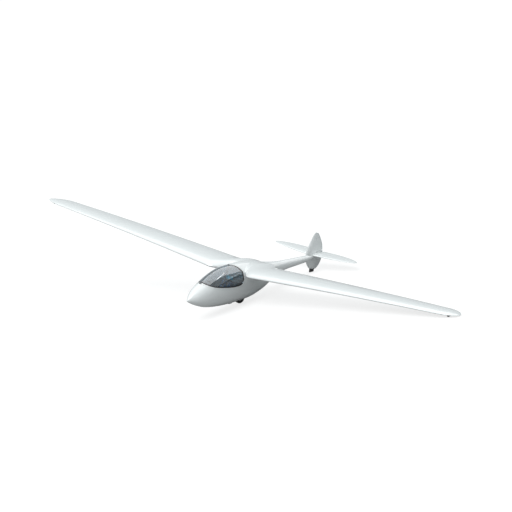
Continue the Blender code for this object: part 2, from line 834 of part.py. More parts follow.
leaf_front = leaf_edge(LEAF_FRONT)
leaf_rear = leaf_edge(LEAF_REAR)


def leaf_half(z, y, extra=0.0):
    """Half the fin's thickness at a place in its side view."""
    front = leaf_front(z)
    chord = leaf_rear(z) - front
    along = min(max((y - front) / max(chord, 1e-6), 0.0), 1.0)
    return section_half(along, LEAF_THICKNESS) * chord + extra


def leaf_ring(z, extra=0.0, half_count=11):
    front = leaf_front(z)
    rear = leaf_rear(z)
    shares = [0.5 * (1 - math.cos(math.pi * i / half_count)) for i in range(half_count + 1)]
    ys = [front + share * (rear - front) for share in shares]
    port = [(leaf_half(z, y, extra), y, z) for y in reversed(ys)]
    starboard = [(-leaf_half(z, y, extra), y, z) for y in ys[1:]]
    if extra:
        starboard = [(-leaf_half(z, y, extra), y, z) for y in ys]
    return port + starboard


def leaf_levels(count):
    middle = (LEAF_TOP + LEAF_BOTTOM) / 2
    half = (LEAF_TOP - LEAF_BOTTOM) / 2
    return [middle + half * math.sin(math.radians(-84 + 168 * i / (count - 1))) for i in range(count)]


def build_leaf(name, finish=None, extra=0.0):
    rings = [leaf_ring(z, extra) for z in leaf_levels(21)]
    top = [(0, LEAF_FRONT[-1][1], LEAF_TOP)]
    bottom = [(0, LEAF_FRONT[0][1], LEAF_BOTTOM)]
    return loft(name, [bottom, *rings, top], finish)


def tail_cone(extra):
    """The fuselage's last stretch, which runs into the fin, grown by extra."""
    return loft("cone", [fuselage_ring(y, -extra) for y in (BOOM_END + GAP, 3.72, 3.85, 3.95, CONE_END)])


def rudder_ring(z):
    centre = Vector((0, RUDDER_AXIS_Y, z))
    radius = leaf_half(z, RUDDER_AXIS_Y) * 0.97
    rear = leaf_rear(z)
    ring = []
    ys = [rear, rear - 0.25 * (rear - RUDDER_AXIS_Y), rear - 0.6 * (rear - RUDDER_AXIS_Y)]
    ring += [Vector((leaf_half(z, y), y, z)) for y in ys]
    for i in range(7):
        angle = math.pi * i / 6
        ring.append(centre + Vector((math.cos(angle) * radius, -math.sin(angle) * radius, 0)))
    ring += [Vector((-leaf_half(z, y), y, z)) for y in reversed(ys)]
    return ring


def build_tail(finish, metal, rubber, parked):
    """The fin, rudder, tailplane, elevators and the skid below them."""
    fin = build_leaf("fin", finish)
    join(fin, tail_cone(0.0))
    port = Vector((1, 0, 0))
    for low, high in ((RUDDER_UPPER_FROM - 0.012, 0.6), (-0.8, RUDDER_LOWER_TO + 0.012)):
        cut(fin, box("bay", (-0.2, RUDDER_AXIS_Y, low), (0.2, BEHIND_TAIL, high)))
        bore = []
        for z in np.linspace(max(low - BORE_BEYOND, LEAF_BOTTOM), min(high + BORE_BEYOND, LEAF_TOP), 12):
            bore.append(bore_ring(Vector((0, RUDDER_AXIS_Y, z)), leaf_half(z, RUDDER_AXIS_Y), port))
        cut(fin, loft("bore", bore))
    cut(fin, rod("hole", (0, RUDDER_AXIS_Y, -0.4), (0, RUDDER_AXIS_Y, 0.1), POST_HOLE, sides=20))

    axis = hinge_frame("rudder_hinge", (0, RUDDER_AXIS_Y, TAIL_Z), (0, 0, 1), parked)
    upper_levels = (RUDDER_UPPER_FROM, 0.05, 0.17, 0.28, 0.37, 0.43, 0.462)
    lower_levels = (-0.655, -0.62, -0.56, -0.47, -0.36, RUDDER_LOWER_TO)
    upper = loft("rudder_upper", [rudder_ring(z) for z in upper_levels], finish)
    lower = loft("rudder_lower", [rudder_ring(z) for z in lower_levels], finish)
    for rudder, levels in ((upper, (0.02, 0.30)), (lower, (-0.50,))):
        points = []
        for z in levels:
            reach = leaf_half(z, RUDDER_AXIS_Y) + SURFACE_GAP
            points.append(((0, RUDDER_AXIS_Y, z), (0, -reach, 0)))
        add_hinges(fin, rudder, points, (0, 0, 1), 0.012, 0.016)
    post = rod(
        "rudder_post",
        (0, RUDDER_AXIS_Y, RUDDER_LOWER_TO + GAP),
        (0, RUDDER_AXIS_Y, RUDDER_UPPER_FROM - GAP),
        POST_RADIUS,
        metal,
        16,
    )
    for piece in (upper, lower, post):
        hang(piece, axis)
    for side in (1, -1):
        build_tailplane(side, finish, parked)
    low = (-SKID_HALF, SKID_FRONT, LEAF_BOTTOM - SKID_DROP)
    shoe = box("tail_skid", low, (SKID_HALF, SKID_REAR, LEAF_BOTTOM + SKID_RISE), rubber)
    bevel_edges(shoe, SKID_HALF / 2)
    cut(shoe, build_leaf("leaf_clear", None, GAP))
    hang(shoe, parked)
    hang(fin, parked)


def tail_edges(x):
    """Leading and trailing edge of the tailplane at x."""
    u = min(abs(x) / TAIL_SEMI, 1.0)
    chord = TAIL_CHORD * max(1 - u**2.4, 0.0) ** 0.6
    pivot = TAIL_FRONT + TAIL_PIVOT * TAIL_CHORD
    return pivot - TAIL_PIVOT * chord, pivot + (1 - TAIL_PIVOT) * chord


def tail_point(x, along, side):
    front, rear = tail_edges(x)
    chord = rear - front
    z = TAIL_Z + abs(x) * math.tan(TAIL_DIHEDRAL) + side * section_half(along, TAIL_THICKNESS) * chord
    return Vector((x, front + along * chord, z))


def tail_ring(x, half_count=11):
    shares = [0.5 * (1 - math.cos(math.pi * i / half_count)) for i in range(half_count + 1)]
    upper = [tail_point(x, share, 1) for share in reversed(shares)]
    return upper + [tail_point(x, share, -1) for share in shares[1:]]


def elevator_hinge(x):
    """A point on the elevator's hinge line and its nose radius there."""
    front, rear = tail_edges(x)
    inner = (ELEVATOR_HINGE_ROOT, tail_hinge_end())
    y = inner[0] + (inner[1] - inner[0]) * abs(x) / ELEVATOR_TIP
    share = (y - front) / (rear - front)
    z = TAIL_Z + abs(x) * math.tan(TAIL_DIHEDRAL)
    return Vector((abs(x), y, z)), section_half(share, TAIL_THICKNESS) * (rear - front), share


def tail_hinge_end():
    front, rear = tail_edges(ELEVATOR_TIP)
    return front + 0.55 * (rear - front)


def elevator_ring(x, side):
    centre, radius, share = elevator_hinge(x)
    shares = (1.0, 1.0 - 0.25 * (1 - share), 1.0 - 0.6 * (1 - share))
    upper = [tail_point(abs(x), part, 1) for part in shares]
    lower = [tail_point(abs(x), part, -1) for part in shares]
    return [mirror_x(point, side) for point in flap_ring(centre, radius * 0.97, upper, lower)]


def build_tailplane(side, finish, parked):
    name = "left" if side > 0 else "right"
    spans = [TAIL_ROOT, 0.25, 0.5, 0.75, 1.0, 1.2, 1.32, 1.42, 1.49, 1.525]
    rings = [[mirror_x(point, side) for point in tail_ring(x)] for x in spans]
    rings.append([mirror_x(tail_point(TAIL_SEMI - 0.0005, 0.5, 0), side)])
    plane = loft(f"stabilizer_{name}", rings, finish)
    bore = []
    for x in np.linspace(0.0, ELEVATOR_TIP + BORE_BEYOND, 12):
        centre, radius, _ = elevator_hinge(x)
        bore.append(bore_ring(mirror_x(centre, side), radius, Vector((0, 0, 1))))
    hinge_end = elevator_hinge(ELEVATOR_TIP)[0].y
    tip = side * ELEVATOR_TIP
    bay = [(0.0, ELEVATOR_HINGE_ROOT), (tip, hinge_end), (tip, BEHIND_TAIL), (0.0, BEHIND_TAIL)]
    cut(plane, prism("bay", bay, 2, -0.4, 0.2))
    cut(plane, loft("bore", bore))
    cut(plane, build_leaf("leaf_clear", None, GAP))
    cut(plane, tail_cone(GAP))
    spans = [ELEVATOR_ROOT, 0.25, 0.5, 0.75, 1.0, 1.2, 1.34, ELEVATOR_TIP - SURFACE_GAP]
    elevator = loft(f"elevator_{name}", [elevator_ring(x, side) for x in spans], finish)
    inner = elevator_hinge(ELEVATOR_ROOT)[0]
    outer = elevator_hinge(ELEVATOR_TIP)[0]
    direction = (mirror_x(outer, side) - mirror_x(inner, side)) * side
    points = []
    for x in ELEVATOR_HINGES:
        point, radius, _ = elevator_hinge(x)
        points.append((mirror_x(point, side), Vector((0, -radius - SURFACE_GAP, 0))))
    add_hinges(plane, elevator, points, direction, 0.010, 0.012)
    hang(elevator, hinge_frame(f"elevator_{name}_hinge", mirror_x(inner, side), direction, parked))
    hang(plane, parked)


def fit_inside(obj):
    """Trims a cockpit piece to the wall, so that it lands on it, and keeps it off the canopy."""
    keep_within(obj, cockpit_space("room", FIT_GAP))
    rim = canopy_skin("rim", 0.0, FRAME_DEEP + CANOPY_CLEAR, None)
    return cut(obj, keep_within(rim, canopy_region(CANOPY_CLEAR)))


def build_tow_release(metal, parked):
    """The hook under the belly that takes a launch cable's ring."""
    low = keel(TOW_REAR) - TOW_DROP
    hook = box("tow_release", (-TOW_HALF, TOW_FRONT, low), (TOW_HALF, TOW_REAR, low + 2 * TOW_DROP), metal)
    bevel_edges(hook, TOW_EYE / 2)
    eye_y = TOW_FRONT + 0.045
    eye_z = low + 0.021
    cut(hook, rod("eye", (-0.1, eye_y, eye_z), (0.1, eye_y, eye_z), TOW_EYE, sides=20))
    half = TOW_EYE / 2
    cut(hook, box("throat", (-0.1, TOW_FRONT - 0.03, eye_z - half), (0.1, eye_y, eye_z + half)))
    cut(hook, cockpit_hull("belly", -GAP, start=1))
    hang(hook, parked)


def sheet_outline(line, thick):
    """A side-view sheet: a line of (y, z) points given a thickness upwards."""
    upper = []
    for i, (y, z) in enumerate(line):
        before = line[max(i - 1, 0)]
        after = line[min(i + 1, len(line) - 1)]
        run = Vector((after[0] - before[0], after[1] - before[1])).normalized()
        upper.append((y - run.y * thick, z + run.x * thick))
    return [*line, *reversed(upper)]


def build_cockpit(finishes, parked):
    """Seat, cushions, panel, stick, pedals, consoles and their levers."""
    trim, cloth, dark, metal, knob = finishes
    pan = prism("seat_pan", sheet_outline(SEAT_LINE, SEAT_THICK), 0, -BEYOND, BEYOND, trim)
    pieces = [fit_inside(pan)]
    high = (BEYOND, BEYOND + 0.1, SHELF_Z + SEAT_THICK)
    shelf = box("rear_shelf", (-BEYOND, SHELF_FRONT, SHELF_Z), high, trim)
    pieces.append(fit_inside(shelf))
    outline = sheet_outline(SEAT_LINE[2:4], SEAT_CUSHION_THICK)
    seat = prism("seat_cushion", outline, 0, -CUSHION_HALF, CUSHION_HALF, cloth)
    pieces.append(rest_on_seat(seat))
    foot = Vector((0, *SEAT_LINE[-2]))
    head = Vector((0, *SEAT_LINE[-1]))
    start, end = [foot.lerp(head, share) for share in BACK_SHARES]
    lean = (end - start).normalized()
    out = Vector((0, -lean.z, lean.y))
    middle = (start + end) / 2 + out * (BACK_THICK / 2 + SEAT_THICK / 2)
    size = (2 * CUSHION_HALF, BACK_THICK + SEAT_THICK, (end - start).length)
    pieces.append(rest_on_seat(turned_box("back_cushion", middle, (1, 0, 0), lean, size, cloth)))
    pieces.append(turned_box("headrest", (0, *HEADREST_AT), (1, 0, 0), lean, HEADREST_SIZE, cloth))
    board = prism("instrument_panel", panel_outline(), 1, PANEL_Y, PANEL_Y + PANEL_THICK, dark)
    pieces.append(fit_inside(board))
    pieces.append(prism("glare_shield", hood_outline(), 1, *HOOD_SPAN, dark))
    pieces.append(build_stick(dark))
    bar = rod("rudder_pedals", (-BEYOND, PEDAL_Y, PEDAL_Z), (BEYOND, PEDAL_Y, PEDAL_Z), 0.011, metal, 12)
    for x in (-PEDAL_X, PEDAL_X):
        low = (x - PEDAL_HALF, PEDAL_Y - 0.016, PEDAL_Z - PEDAL_TALL)
        join(bar, box("pedal", low, (x + PEDAL_HALF, PEDAL_Y - 0.004, PEDAL_Z + PEDAL_TALL)))
    pieces.append(fit_inside(bar))
    for name, inner, outer in (("left", CONSOLE_INNER, BEYOND), ("right", -BEYOND, -CONSOLE_INNER)):
        low = (inner, CONSOLE_FRONT, CONSOLE_TOP - CONSOLE_THICK)
        pieces.append(fit_inside(box(f"side_console_{name}", low, (outer, CONSOLE_REAR, CONSOLE_TOP), trim)))
    pieces.append(build_lever("airbrake_lever", LEVER_X, -0.28, 0.075, 0.016, knob))
    pieces.append(build_lever("trim_lever", LEVER_X, -0.48, 0.045, 0.011, knob))
    pieces.append(build_lever("gear_brake_lever", -LEVER_X, -0.36, 0.060, 0.013, knob))
    for piece in pieces:
        hang(piece, parked)


def panel_outline():
    """The instrument panel seen from the seat: wall to wall below the sill, arched above it."""
    half, base, rise = PANEL_ARCH
    arch = [(half * math.cos(a), base + rise * math.sin(a)) for a in np.linspace(0, math.pi, 13)]
    foot = half + 0.015
    port = [(BEYOND, PANEL_LOW), (BEYOND, PANEL_SHOULDER), (foot, PANEL_SHOULDER)]
    return [(-BEYOND, PANEL_SHOULDER), (-BEYOND, PANEL_LOW), *port, *arch, (-foot, PANEL_SHOULDER)]


def hood_outline():
    """The glare shield seen from the seat: a thin arch that lies on the panel's."""
    half, base, rise = PANEL_ARCH
    outline = []
    for extra, start, end in ((GAP, 0, math.pi), (GAP + HOOD_THICK, math.pi, 0)):
        for a in np.linspace(start, end, 13):
            outline.append(((half + extra) * math.cos(a), base + (rise + extra) * math.sin(a)))
    return outline


def rest_on_seat(obj):
    """Trims the underside of a piece to the seat pan's upper face."""
    upper = sheet_outline(SEAT_LINE, SEAT_THICK + GAP)[len(SEAT_LINE):]
    front = SEAT_LINE[0][0]
    rear = SEAT_LINE[-1][0] + 0.3
    under = [*upper, (front, -1.0), (rear, -1.0), (rear, upper[0][1])]
    return cut(obj, prism("under", under, 0, -0.5, 0.5))


def build_stick(finish):
    """The control stick: a rubber boot on the seat pan, a shaft and a grip."""
    foot = STICK_Y
    stick = rod("control_stick", (0, foot, -0.78), (0, foot, -0.60), 0.030, finish, 16, 0.014)
    join(stick, rod("shaft", (0, foot, -0.66), (0, foot + 0.045, -0.40), 0.010, sides=12))
    join(stick, rod("grip", (0, foot + 0.030, -0.50), (0, foot + 0.050, -0.385), 0.019, sides=12))
    return rest_on_seat(stick)


def build_lever(name, x, y, tall, radius, finish):
    """A short rod with a knob, standing on a side console."""
    base = CONSOLE_TOP + GAP
    lever = rod(name, (x, y, base), (x, y, base + tall), 0.005, finish, 10)
    return join(lever, rod("knob", (x, y, base + tall - 0.02), (x, y, base + tall + 0.02), radius, sides=12))


def rest_plane(names):
    """Turns the aircraft so that the lowest point of each named piece meets one plane."""
    clouds = []
    for name in names:
        mesh = bpy.data.objects[name].data
        clouds.append(np.array([vertex.co[:] for vertex in mesh.vertices]))
    normal = np.array((0.0, 0.0, 1.0))
    for _ in range(20):
        a, b, c = [cloud[np.argmin(cloud @ normal)] for cloud in clouds]
        normal = np.cross(b - a, c - a)
        normal /= np.linalg.norm(normal)
        normal *= np.sign(normal[2])
    aft = np.array((0.0, 1.0, 0.0))
    aft -= normal * (aft @ normal)
    aft /= np.linalg.norm(aft)
    return Matrix((np.cross(aft, normal), aft, normal)).to_4x4()


def stand_on_ground(parked):
    """Leans the aircraft onto its three contacts, with the middle of its footprint at the origin."""
    parked.matrix_world = rest_plane(("main_tyre", "tail_skid", "wingtip_skid_left"))
    bpy.context.view_layer.update()
    corners = []
    for obj in bpy.context.scene.objects:
        if obj.type == "MESH":
            points = np.array([vertex.co[:] for vertex in obj.data.vertices])
            world = np.array(obj.matrix_world)
            points = points @ world[:3, :3].T + world[:3, 3]
            corners += [points.min(axis=0), points.max(axis=0)]
    low = np.min(corners, axis=0)
    high = np.max(corners, axis=0)
    shift = Vector((-(low[0] + high[0]) / 2, -(low[1] + high[1]) / 2, -low[2]))
    parked.matrix_world = Matrix.Translation(shift) @ parked.matrix_world


def main():
    for old in list(bpy.data.objects):
        bpy.data.objects.remove(old)
    parked = bpy.data.objects.new("parked_attitude", None)
    bpy.context.scene.collection.objects.link(parked)

    white = material("gelcoat", (0.86, 0.88, 0.88), 0.22)
    tinted = material("tinted_glazing", (0.05, 0.06, 0.08), 0.05)
    black = material("black_frame", (0.03, 0.03, 0.035), 0.4)
    steel = material("steel", (0.55, 0.56, 0.58), 0.35, 1.0)
    rubber = material("rubber", (0.04, 0.04, 0.04), 0.8)
    trim = material("cockpit_trim", (0.42, 0.43, 0.42), 0.6)
    cloth = material("blue_cloth", (0.05, 0.22, 0.42), 0.9)
    knob = material("control_knob", (0.05, 0.15, 0.5), 0.4)

    hang(build_cockpit_shell(white), parked)
    hang(build_canopy_hinge(steel), parked)
    axis = hinge_frame("canopy_hinge_axis", canopy_axis(), (1, 0, 0), parked)
    hang(build_canopy_frame(black), axis)
    hang(build_canopy_glass(tinted), axis)
    build_centre(white, parked)
    boom_rings = [fuselage_ring(y) for y in (BOOM_START + GAP, 2.6, 2.8, 3.1, 3.35, BOOM_END)]
    hang(loft("tail_boom", boom_rings, white), parked)
    for side in (1, -1):
        build_wing(side, white, rubber, steel, parked)
    build_tail(white, steel, rubber, parked)
    build_wheel(rubber, steel, parked)
    build_tow_release(steel, parked)
    build_cockpit((trim, cloth, black, steel, knob), parked)
    stand_on_ground(parked)
    for obj in bpy.context.scene.objects:
        if obj.type == "MESH":
            obj.data.shade_smooth()
            obj.data.set_sharp_from_angle(angle=math.radians(35))


main()
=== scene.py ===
"""Looks of a parked single-seat sailplane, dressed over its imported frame.

Metres. New pieces are shaped in the aircraft's own frame, x to port, y aft and z up, with
y = 0 and z = 0 at the wing's leading edge, and then turned the way the aircraft leans on
its port wingtip.
"""

import json
import logging
import math
from collections.abc import Iterator, Sequence
from contextlib import contextmanager
from dataclasses import dataclass, field
from enum import Enum
from typing import TypeAlias

import bmesh
import bpy
from mathutils import Matrix, Vector


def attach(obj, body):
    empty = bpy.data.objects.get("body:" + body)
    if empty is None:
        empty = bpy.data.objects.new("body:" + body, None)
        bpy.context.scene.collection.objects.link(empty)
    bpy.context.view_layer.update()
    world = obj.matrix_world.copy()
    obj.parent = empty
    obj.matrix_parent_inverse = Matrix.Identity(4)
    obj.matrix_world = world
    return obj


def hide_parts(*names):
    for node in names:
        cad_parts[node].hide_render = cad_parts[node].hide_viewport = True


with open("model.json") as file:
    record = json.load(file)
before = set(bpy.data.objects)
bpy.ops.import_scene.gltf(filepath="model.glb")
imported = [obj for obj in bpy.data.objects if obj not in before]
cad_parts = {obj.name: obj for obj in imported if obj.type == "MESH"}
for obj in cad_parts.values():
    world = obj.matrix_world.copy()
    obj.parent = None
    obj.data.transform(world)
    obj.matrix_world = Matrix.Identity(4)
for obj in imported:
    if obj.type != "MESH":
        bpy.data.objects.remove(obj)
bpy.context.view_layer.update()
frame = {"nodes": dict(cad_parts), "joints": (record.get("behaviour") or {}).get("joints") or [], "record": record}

log = logging.getLogger("sailplane")

Colour = tuple[float, float, float]
Point = tuple[float, float, float]
Value: TypeAlias = "Signal | float | int | tuple | Vector"

SENSOR = 36.0
FRAME_WIDTH = 512.0
RUDDER_HINGE = Vector((0.0, 4.10, -0.195))
MERGE = 0.00001
SHARP = 50.0
AFT = Vector((0.0, 1.0, 0.0))


# Shader building


class Signal:
    """One socket of a material that takes part in maths."""

    def __init__(self, paint: "Paint", socket: bpy.types.NodeSocket) -> None:
        """Wraps a socket.

        Args:
            paint: The material that holds the socket.
            socket: The output socket.
        """
        self.paint = paint
        self.socket = socket

    def math(self, operation: str, *values: Value) -> "Signal":
        """Adds a Math node.

        Args:
            operation: The node's operation.
            values: Its inputs, in order.

        Returns:
            The node's output.
        """
        node = self.paint.node("ShaderNodeMath", {"operation": operation}, dict(enumerate(values)))
        return Signal(self.paint, node.outputs[0])

    def __add__(self, other: Value) -> "Signal":
        """Sum."""
        return self.math("ADD", self, other)

    def __radd__(self, other: Value) -> "Signal":
        """Sum, from the right."""
        return self.math("ADD", other, self)

    def __sub__(self, other: Value) -> "Signal":
        """Difference."""
        return self.math("SUBTRACT", self, other)

    def __rsub__(self, other: Value) -> "Signal":
        """Difference, from the right."""
        return self.math("SUBTRACT", other, self)

    def __mul__(self, other: Value) -> "Signal":
        """Product."""
        return self.math("MULTIPLY", self, other)

    def __rmul__(self, other: Value) -> "Signal":
        """Product, from the right."""
        return self.math("MULTIPLY", other, self)

    def sine(self) -> "Signal":
        """Sine."""
        return self.math("SINE", self)

    def step(self, start: float, end: float) -> "Signal":
        """Eases from 0 to 1 between two values.

        Args:
            start: The value that gives 0.
            end: The value that gives 1.

        Returns:
            The eased signal.
        """
        settings = {"interpolation_type": "SMOOTHSTEP"}
        node = self.paint.node("ShaderNodeMapRange", settings, {0: self, 1: start, 2: end, 3: 0.0, 4: 1.0})
        return Signal(self.paint, node.outputs[0])


class Paint:
    """A node material in the making: one Principled shader and what feeds it."""

    def __init__(self, name: str) -> None:
        """Makes the material.

        Args:
            name: Its name.
        """
        self.material = bpy.data.materials.new(name)
        self.material.use_nodes = True
        self.tree = self.material.node_tree
        self.principled = self.tree.nodes["Principled BSDF"]
        self.output = self.tree.nodes["Material Output"]

    def node(self, kind: str, settings: dict | None = None, inputs: dict | None = None) -> bpy.types.Node:
        """Adds a node.

        Args:
            kind: The node's type.
            settings: Its settings, set before its sockets.
            inputs: Values or signals by socket name or number.

        Returns:
            The node.
        """
        made = self.tree.nodes.new(kind)
        for name, value in (settings or {}).items():
            setattr(made, name, value)
        for name, value in (inputs or {}).items():
            self.feed(made.inputs[name], value)
        return made

    def feed(self, socket: bpy.types.NodeSocket, value: Value) -> None:
        """Links a signal to a socket, or sets the socket's own value.

        Args:
            socket: The input.
            value: The signal or the plain value.
        """
        if isinstance(value, Signal):
            self.tree.links.new(value.socket, socket)
        elif socket.type == "RGBA" and len(value) == 3:
            socket.default_value = (*value, 1.0)
        else:
            socket.default_value = value

    def place(self, turn: Matrix | None = None, stretch: Point = (1, 1, 1)) -> Signal:
        """Object coordinates, turned into another frame and stretched.

        Args:
            turn: From the scene to the frame that the pattern follows.
            stretch: How many times finer the pattern runs along each axis.

        Returns:
            The coordinates.
        """
        found = self.node("ShaderNodeTexCoord").outputs["Object"]
        signal = Signal(self, found)
        if turn is not None:
            inputs = {"Vector": signal, "Location": turn.to_translation(), "Rotation": turn.to_euler()}
            signal = Signal(self, self.node("ShaderNodeMapping", {}, inputs).outputs[0])
        if tuple(stretch) != (1, 1, 1):
            inputs = {0: signal, 1: stretch}
            node = self.node("ShaderNodeVectorMath", {"operation": "MULTIPLY"}, inputs)
            signal = Signal(self, node.outputs[0])
        return signal

    def axis(self, where: Signal, number: int) -> Signal:
        """One coordinate, x, y or z by number."""
        return Signal(self, self.node("ShaderNodeSeparateXYZ", {}, {0: where}).outputs[number])

    def noise(self, where: Signal, scale: float, detail: float = 4.0, roughness: float = 0.5) -> Signal:
        """Fractal noise.

        Args:
            where: Coordinates.
            scale: Cells per metre.
            detail: Octaves.
            roughness: Share of each finer octave.

        Returns:
            Noise from 0 to 1.
        """
        inputs = {"Vector": where, "Scale": scale, "Detail": detail, "Roughness": roughness}
        return Signal(self, self.node("ShaderNodeTexNoise", {}, inputs).outputs[0])

    def cells(self, where: Signal, scale: float) -> Signal:
        """Distance to the nearest of scattered points, from 0 up."""
        node = self.node("ShaderNodeTexVoronoi", {}, {"Vector": where, "Scale": scale})
        return Signal(self, node.outputs["Distance"])

    def mix(self, share: Value, first: Value, second: Value) -> Signal:
        """Blends two colours.

        Args:
            share: 0 for the first, 1 for the second.
            first: A colour or a signal.
            second: A colour or a signal.

        Returns:
            The blended colour.
        """
        node = self.node("ShaderNodeMix", {"data_type": "RGBA"}, {0: share})
        self.feed(node.inputs[6], first)
        self.feed(node.inputs[7], second)
        return Signal(self, node.outputs[2])

    def bump(self, height: Value, strength: float, depth: float, under: Signal | None = None) -> Signal:
        """A bumped normal.

        Args:
            height: The height signal, from 0 to 1.
            strength: Share of the bump that shows.
            depth: Real height in metres of a signal of 1.
            under: A normal that the bump adds to.

        Returns:
            The normal.
        """
        inputs = {"Height": height, "Strength": strength, "Distance": depth}
        if under is not None:
            inputs["Normal"] = under
        return Signal(self, self.node("ShaderNodeBump", {}, inputs).outputs[0])

    def finish(self, **sockets: Value) -> bpy.types.Material:
        """Sets the Principled shader's sockets.

        Args:
            sockets: Values or signals, with the socket's name in lower case and underscores.

        Returns:
            The material.
        """
        names = {socket.name.lower().replace(" ", "_"): socket for socket in self.principled.inputs}
        for name, value in sockets.items():
            self.feed(names[name], value)
        return self.material


# Where the aircraft stands


@dataclass(frozen=True)
class Attitude:
    """How the aircraft's own frame lies in the scene.

    Attributes:
        matrix: From the aircraft's frame to the scene.
    """

    matrix: Matrix

    @classmethod
    def from_joints(cls, joints: list[dict]) -> "Attitude":
        """Reads the frame off two joints.

        Args:
            joints: The record's joints. The canopy's pin lies across the aircraft and the
                rudder's post stands upright in it.

        Returns:
            The attitude.
        """
        named = {joint["name"]: joint for joint in joints}
        port = Vector(named["canopy_open"]["axis"]).normalized()
        up = Vector(named["rudder_swing"]["axis"]).normalized()
        turn = Matrix((port, up.cross(port), up)).transposed()
        origin = Vector(named["rudder_swing"]["pos_m"]) - turn @ RUDDER_HINGE
        return cls(Matrix.Translation(origin) @ turn.to_4x4())

    @property
    def inverse(self) -> Matrix:
        """From the scene to the aircraft's frame."""
        return self.matrix.inverted()

    def joint_centre(self, name: str) -> Vector:
        """Where a hinge lies in the aircraft's frame."""
        joint = next(joint for joint in frame["joints"] if joint["name"] == name)
        return self.inverse @ Vector(joint["pos_m"])


attitude = Attitude.from_joints(frame["joints"])


# Finishes


@dataclass(frozen=True)
class Gelcoat:
    """Polished white gelcoat over laminate.

    Attributes:
        colour: The clean coat's colour.
        grime: The colour of the dust that gathers low down.
    """

    colour: Colour = (0.815, 0.845, 0.845)
    grime: Colour = (0.46, 0.45, 0.41)

    def material(self) -> bpy.types.Material:
        """Makes the material: slow waves in the mould, fine orange peel, and dust on the belly."""
        paint = Paint("gelcoat_white")
        where = paint.place(attitude.inverse)
        broad = paint.noise(where, 1.3, 3.0)
        fine = paint.noise(where, 9.0, 6.0, 0.6)
        low = 1.0 - paint.axis(where, 2).step(-0.93, -0.70)
        dust = low * fine.step(0.35, 0.75) * 0.55
        clean = paint.mix(broad, self.colour, tuple(part * 1.03 for part in self.colour))
        shade = paint.mix(dust, clean, self.grime)
        waves = paint.bump(paint.noise(where, 5.0, 2.0), 0.25, 0.0006)
        peel = paint.bump(paint.noise(where, 420.0, 2.0), 0.12, 0.0002, waves)
        return paint.finish(
            base_color=shade,
            roughness=0.20 + fine * 0.10 + dust * 0.4,
            coat_weight=0.6 - dust * 0.5,
            coat_roughness=0.05,
            normal=peel,
        )


@dataclass(frozen=True)
class TintedGlass:
    """Tinted acrylic of the canopy.

    Attributes:
        tint: What one sheet lets through.
        gloss: Strength of the polished surface's reflection.
    """

    tint: Colour = (0.37, 0.48, 0.55)
    gloss: float = 1.0

    def material(self) -> bpy.types.Material:
        """Makes the material, with faint haze and the slow waves of blown acrylic."""
        paint = Paint("tinted_acrylic")
        where = paint.place(attitude.inverse)
        haze = paint.noise(where, 6.0, 5.0, 0.6).step(0.45, 0.8)
        waves = paint.noise(where, 2.5, 1.0)
        return paint.finish(
            base_color=self.tint,
            roughness=0.015 + haze * 0.03,
            ior=1.49,
            transmission_weight=1.0,
            coat_weight=self.gloss,
            coat_ior=1.9,
            coat_roughness=0.02,
            normal=paint.bump(waves, 0.2, 0.0008),
        )


@dataclass(frozen=True)
class SatinCoat:
    """A painted or moulded finish with a fine grain.

    Attributes:
        name: The material's name.
        colour: Its colour.
        worn: The colour where it is rubbed.
        roughness: Its middle roughness.
        grain: Grain cells per metre.
        depth: Depth of the grain in metres.
    """

    name: str
    colour: Colour
    worn: Colour
    roughness: float = 0.45
    grain: float = 700.0
    depth: float = 0.0003

    def material(self) -> bpy.types.Material:
        """Makes the material."""
        paint = Paint(self.name)
        where = paint.place(attitude.inverse)
        patches = paint.noise(where, 18.0, 6.0, 0.65)
        rub = patches.step(0.56, 0.76) * 0.45
        grain = paint.cells(where, self.grain)
        return paint.finish(
            base_color=paint.mix(rub, self.colour, self.worn),
            roughness=self.roughness - 0.08 + patches * 0.16,
            normal=paint.bump(grain, 0.5, self.depth),
        )


@dataclass(frozen=True)
class BrushedMetal:
    """Plated steel or bare alloy, brushed one way.

    Attributes:
        name: The material's name.
        colour: The metal's colour.
        roughness: Its middle roughness.
        brush: How many times finer the brushing runs along each axis.
    """

    name: str
    colour: Colour
    roughness: float = 0.30
    brush: Point = (6, 900, 900)

    def material(self) -> bpy.types.Material:
        """Makes the material: fine streaks and dull patches."""
        paint = Paint(self.name)
        streaks = paint.noise(paint.place(attitude.inverse, self.brush), 1.0, 3.0)
        patches = paint.noise(paint.place(attitude.inverse), 25.0, 4.0)
        dull = tuple(part * 0.72 for part in self.colour)
        return paint.finish(
            base_color=paint.mix(patches.step(0.45, 0.8), self.colour, dull),
            metallic=1.0,
            roughness=self.roughness + streaks * 0.12 + patches * 0.10,
            normal=paint.bump(streaks, 0.15, 0.0001),
        )


@dataclass(frozen=True)
class Rubber:
    """Tyre and skid rubber, dusted with dry soil.

    Attributes:
        name: The material's name.
        colour: Clean rubber.
        soil: The dust.
    """

    name: str
    colour: Colour = (0.022, 0.022, 0.024)
    soil: Colour = (0.17, 0.145, 0.115)

    def material(self) -> bpy.types.Material:
        """Makes the material."""
        paint = Paint(self.name)
        where = paint.place(attitude.inverse)
        patches = paint.noise(where, 22.0, 7.0, 0.7)
        dusty = patches.step(0.48, 0.78) * 0.6
        pores = paint.noise(where, 900.0, 2.0)
        return paint.finish(
            base_color=paint.mix(dusty, self.colour, self.soil),
            roughness=0.62 + dusty * 0.3,
            normal=paint.bump(pores, 0.4, 0.0003),
        )


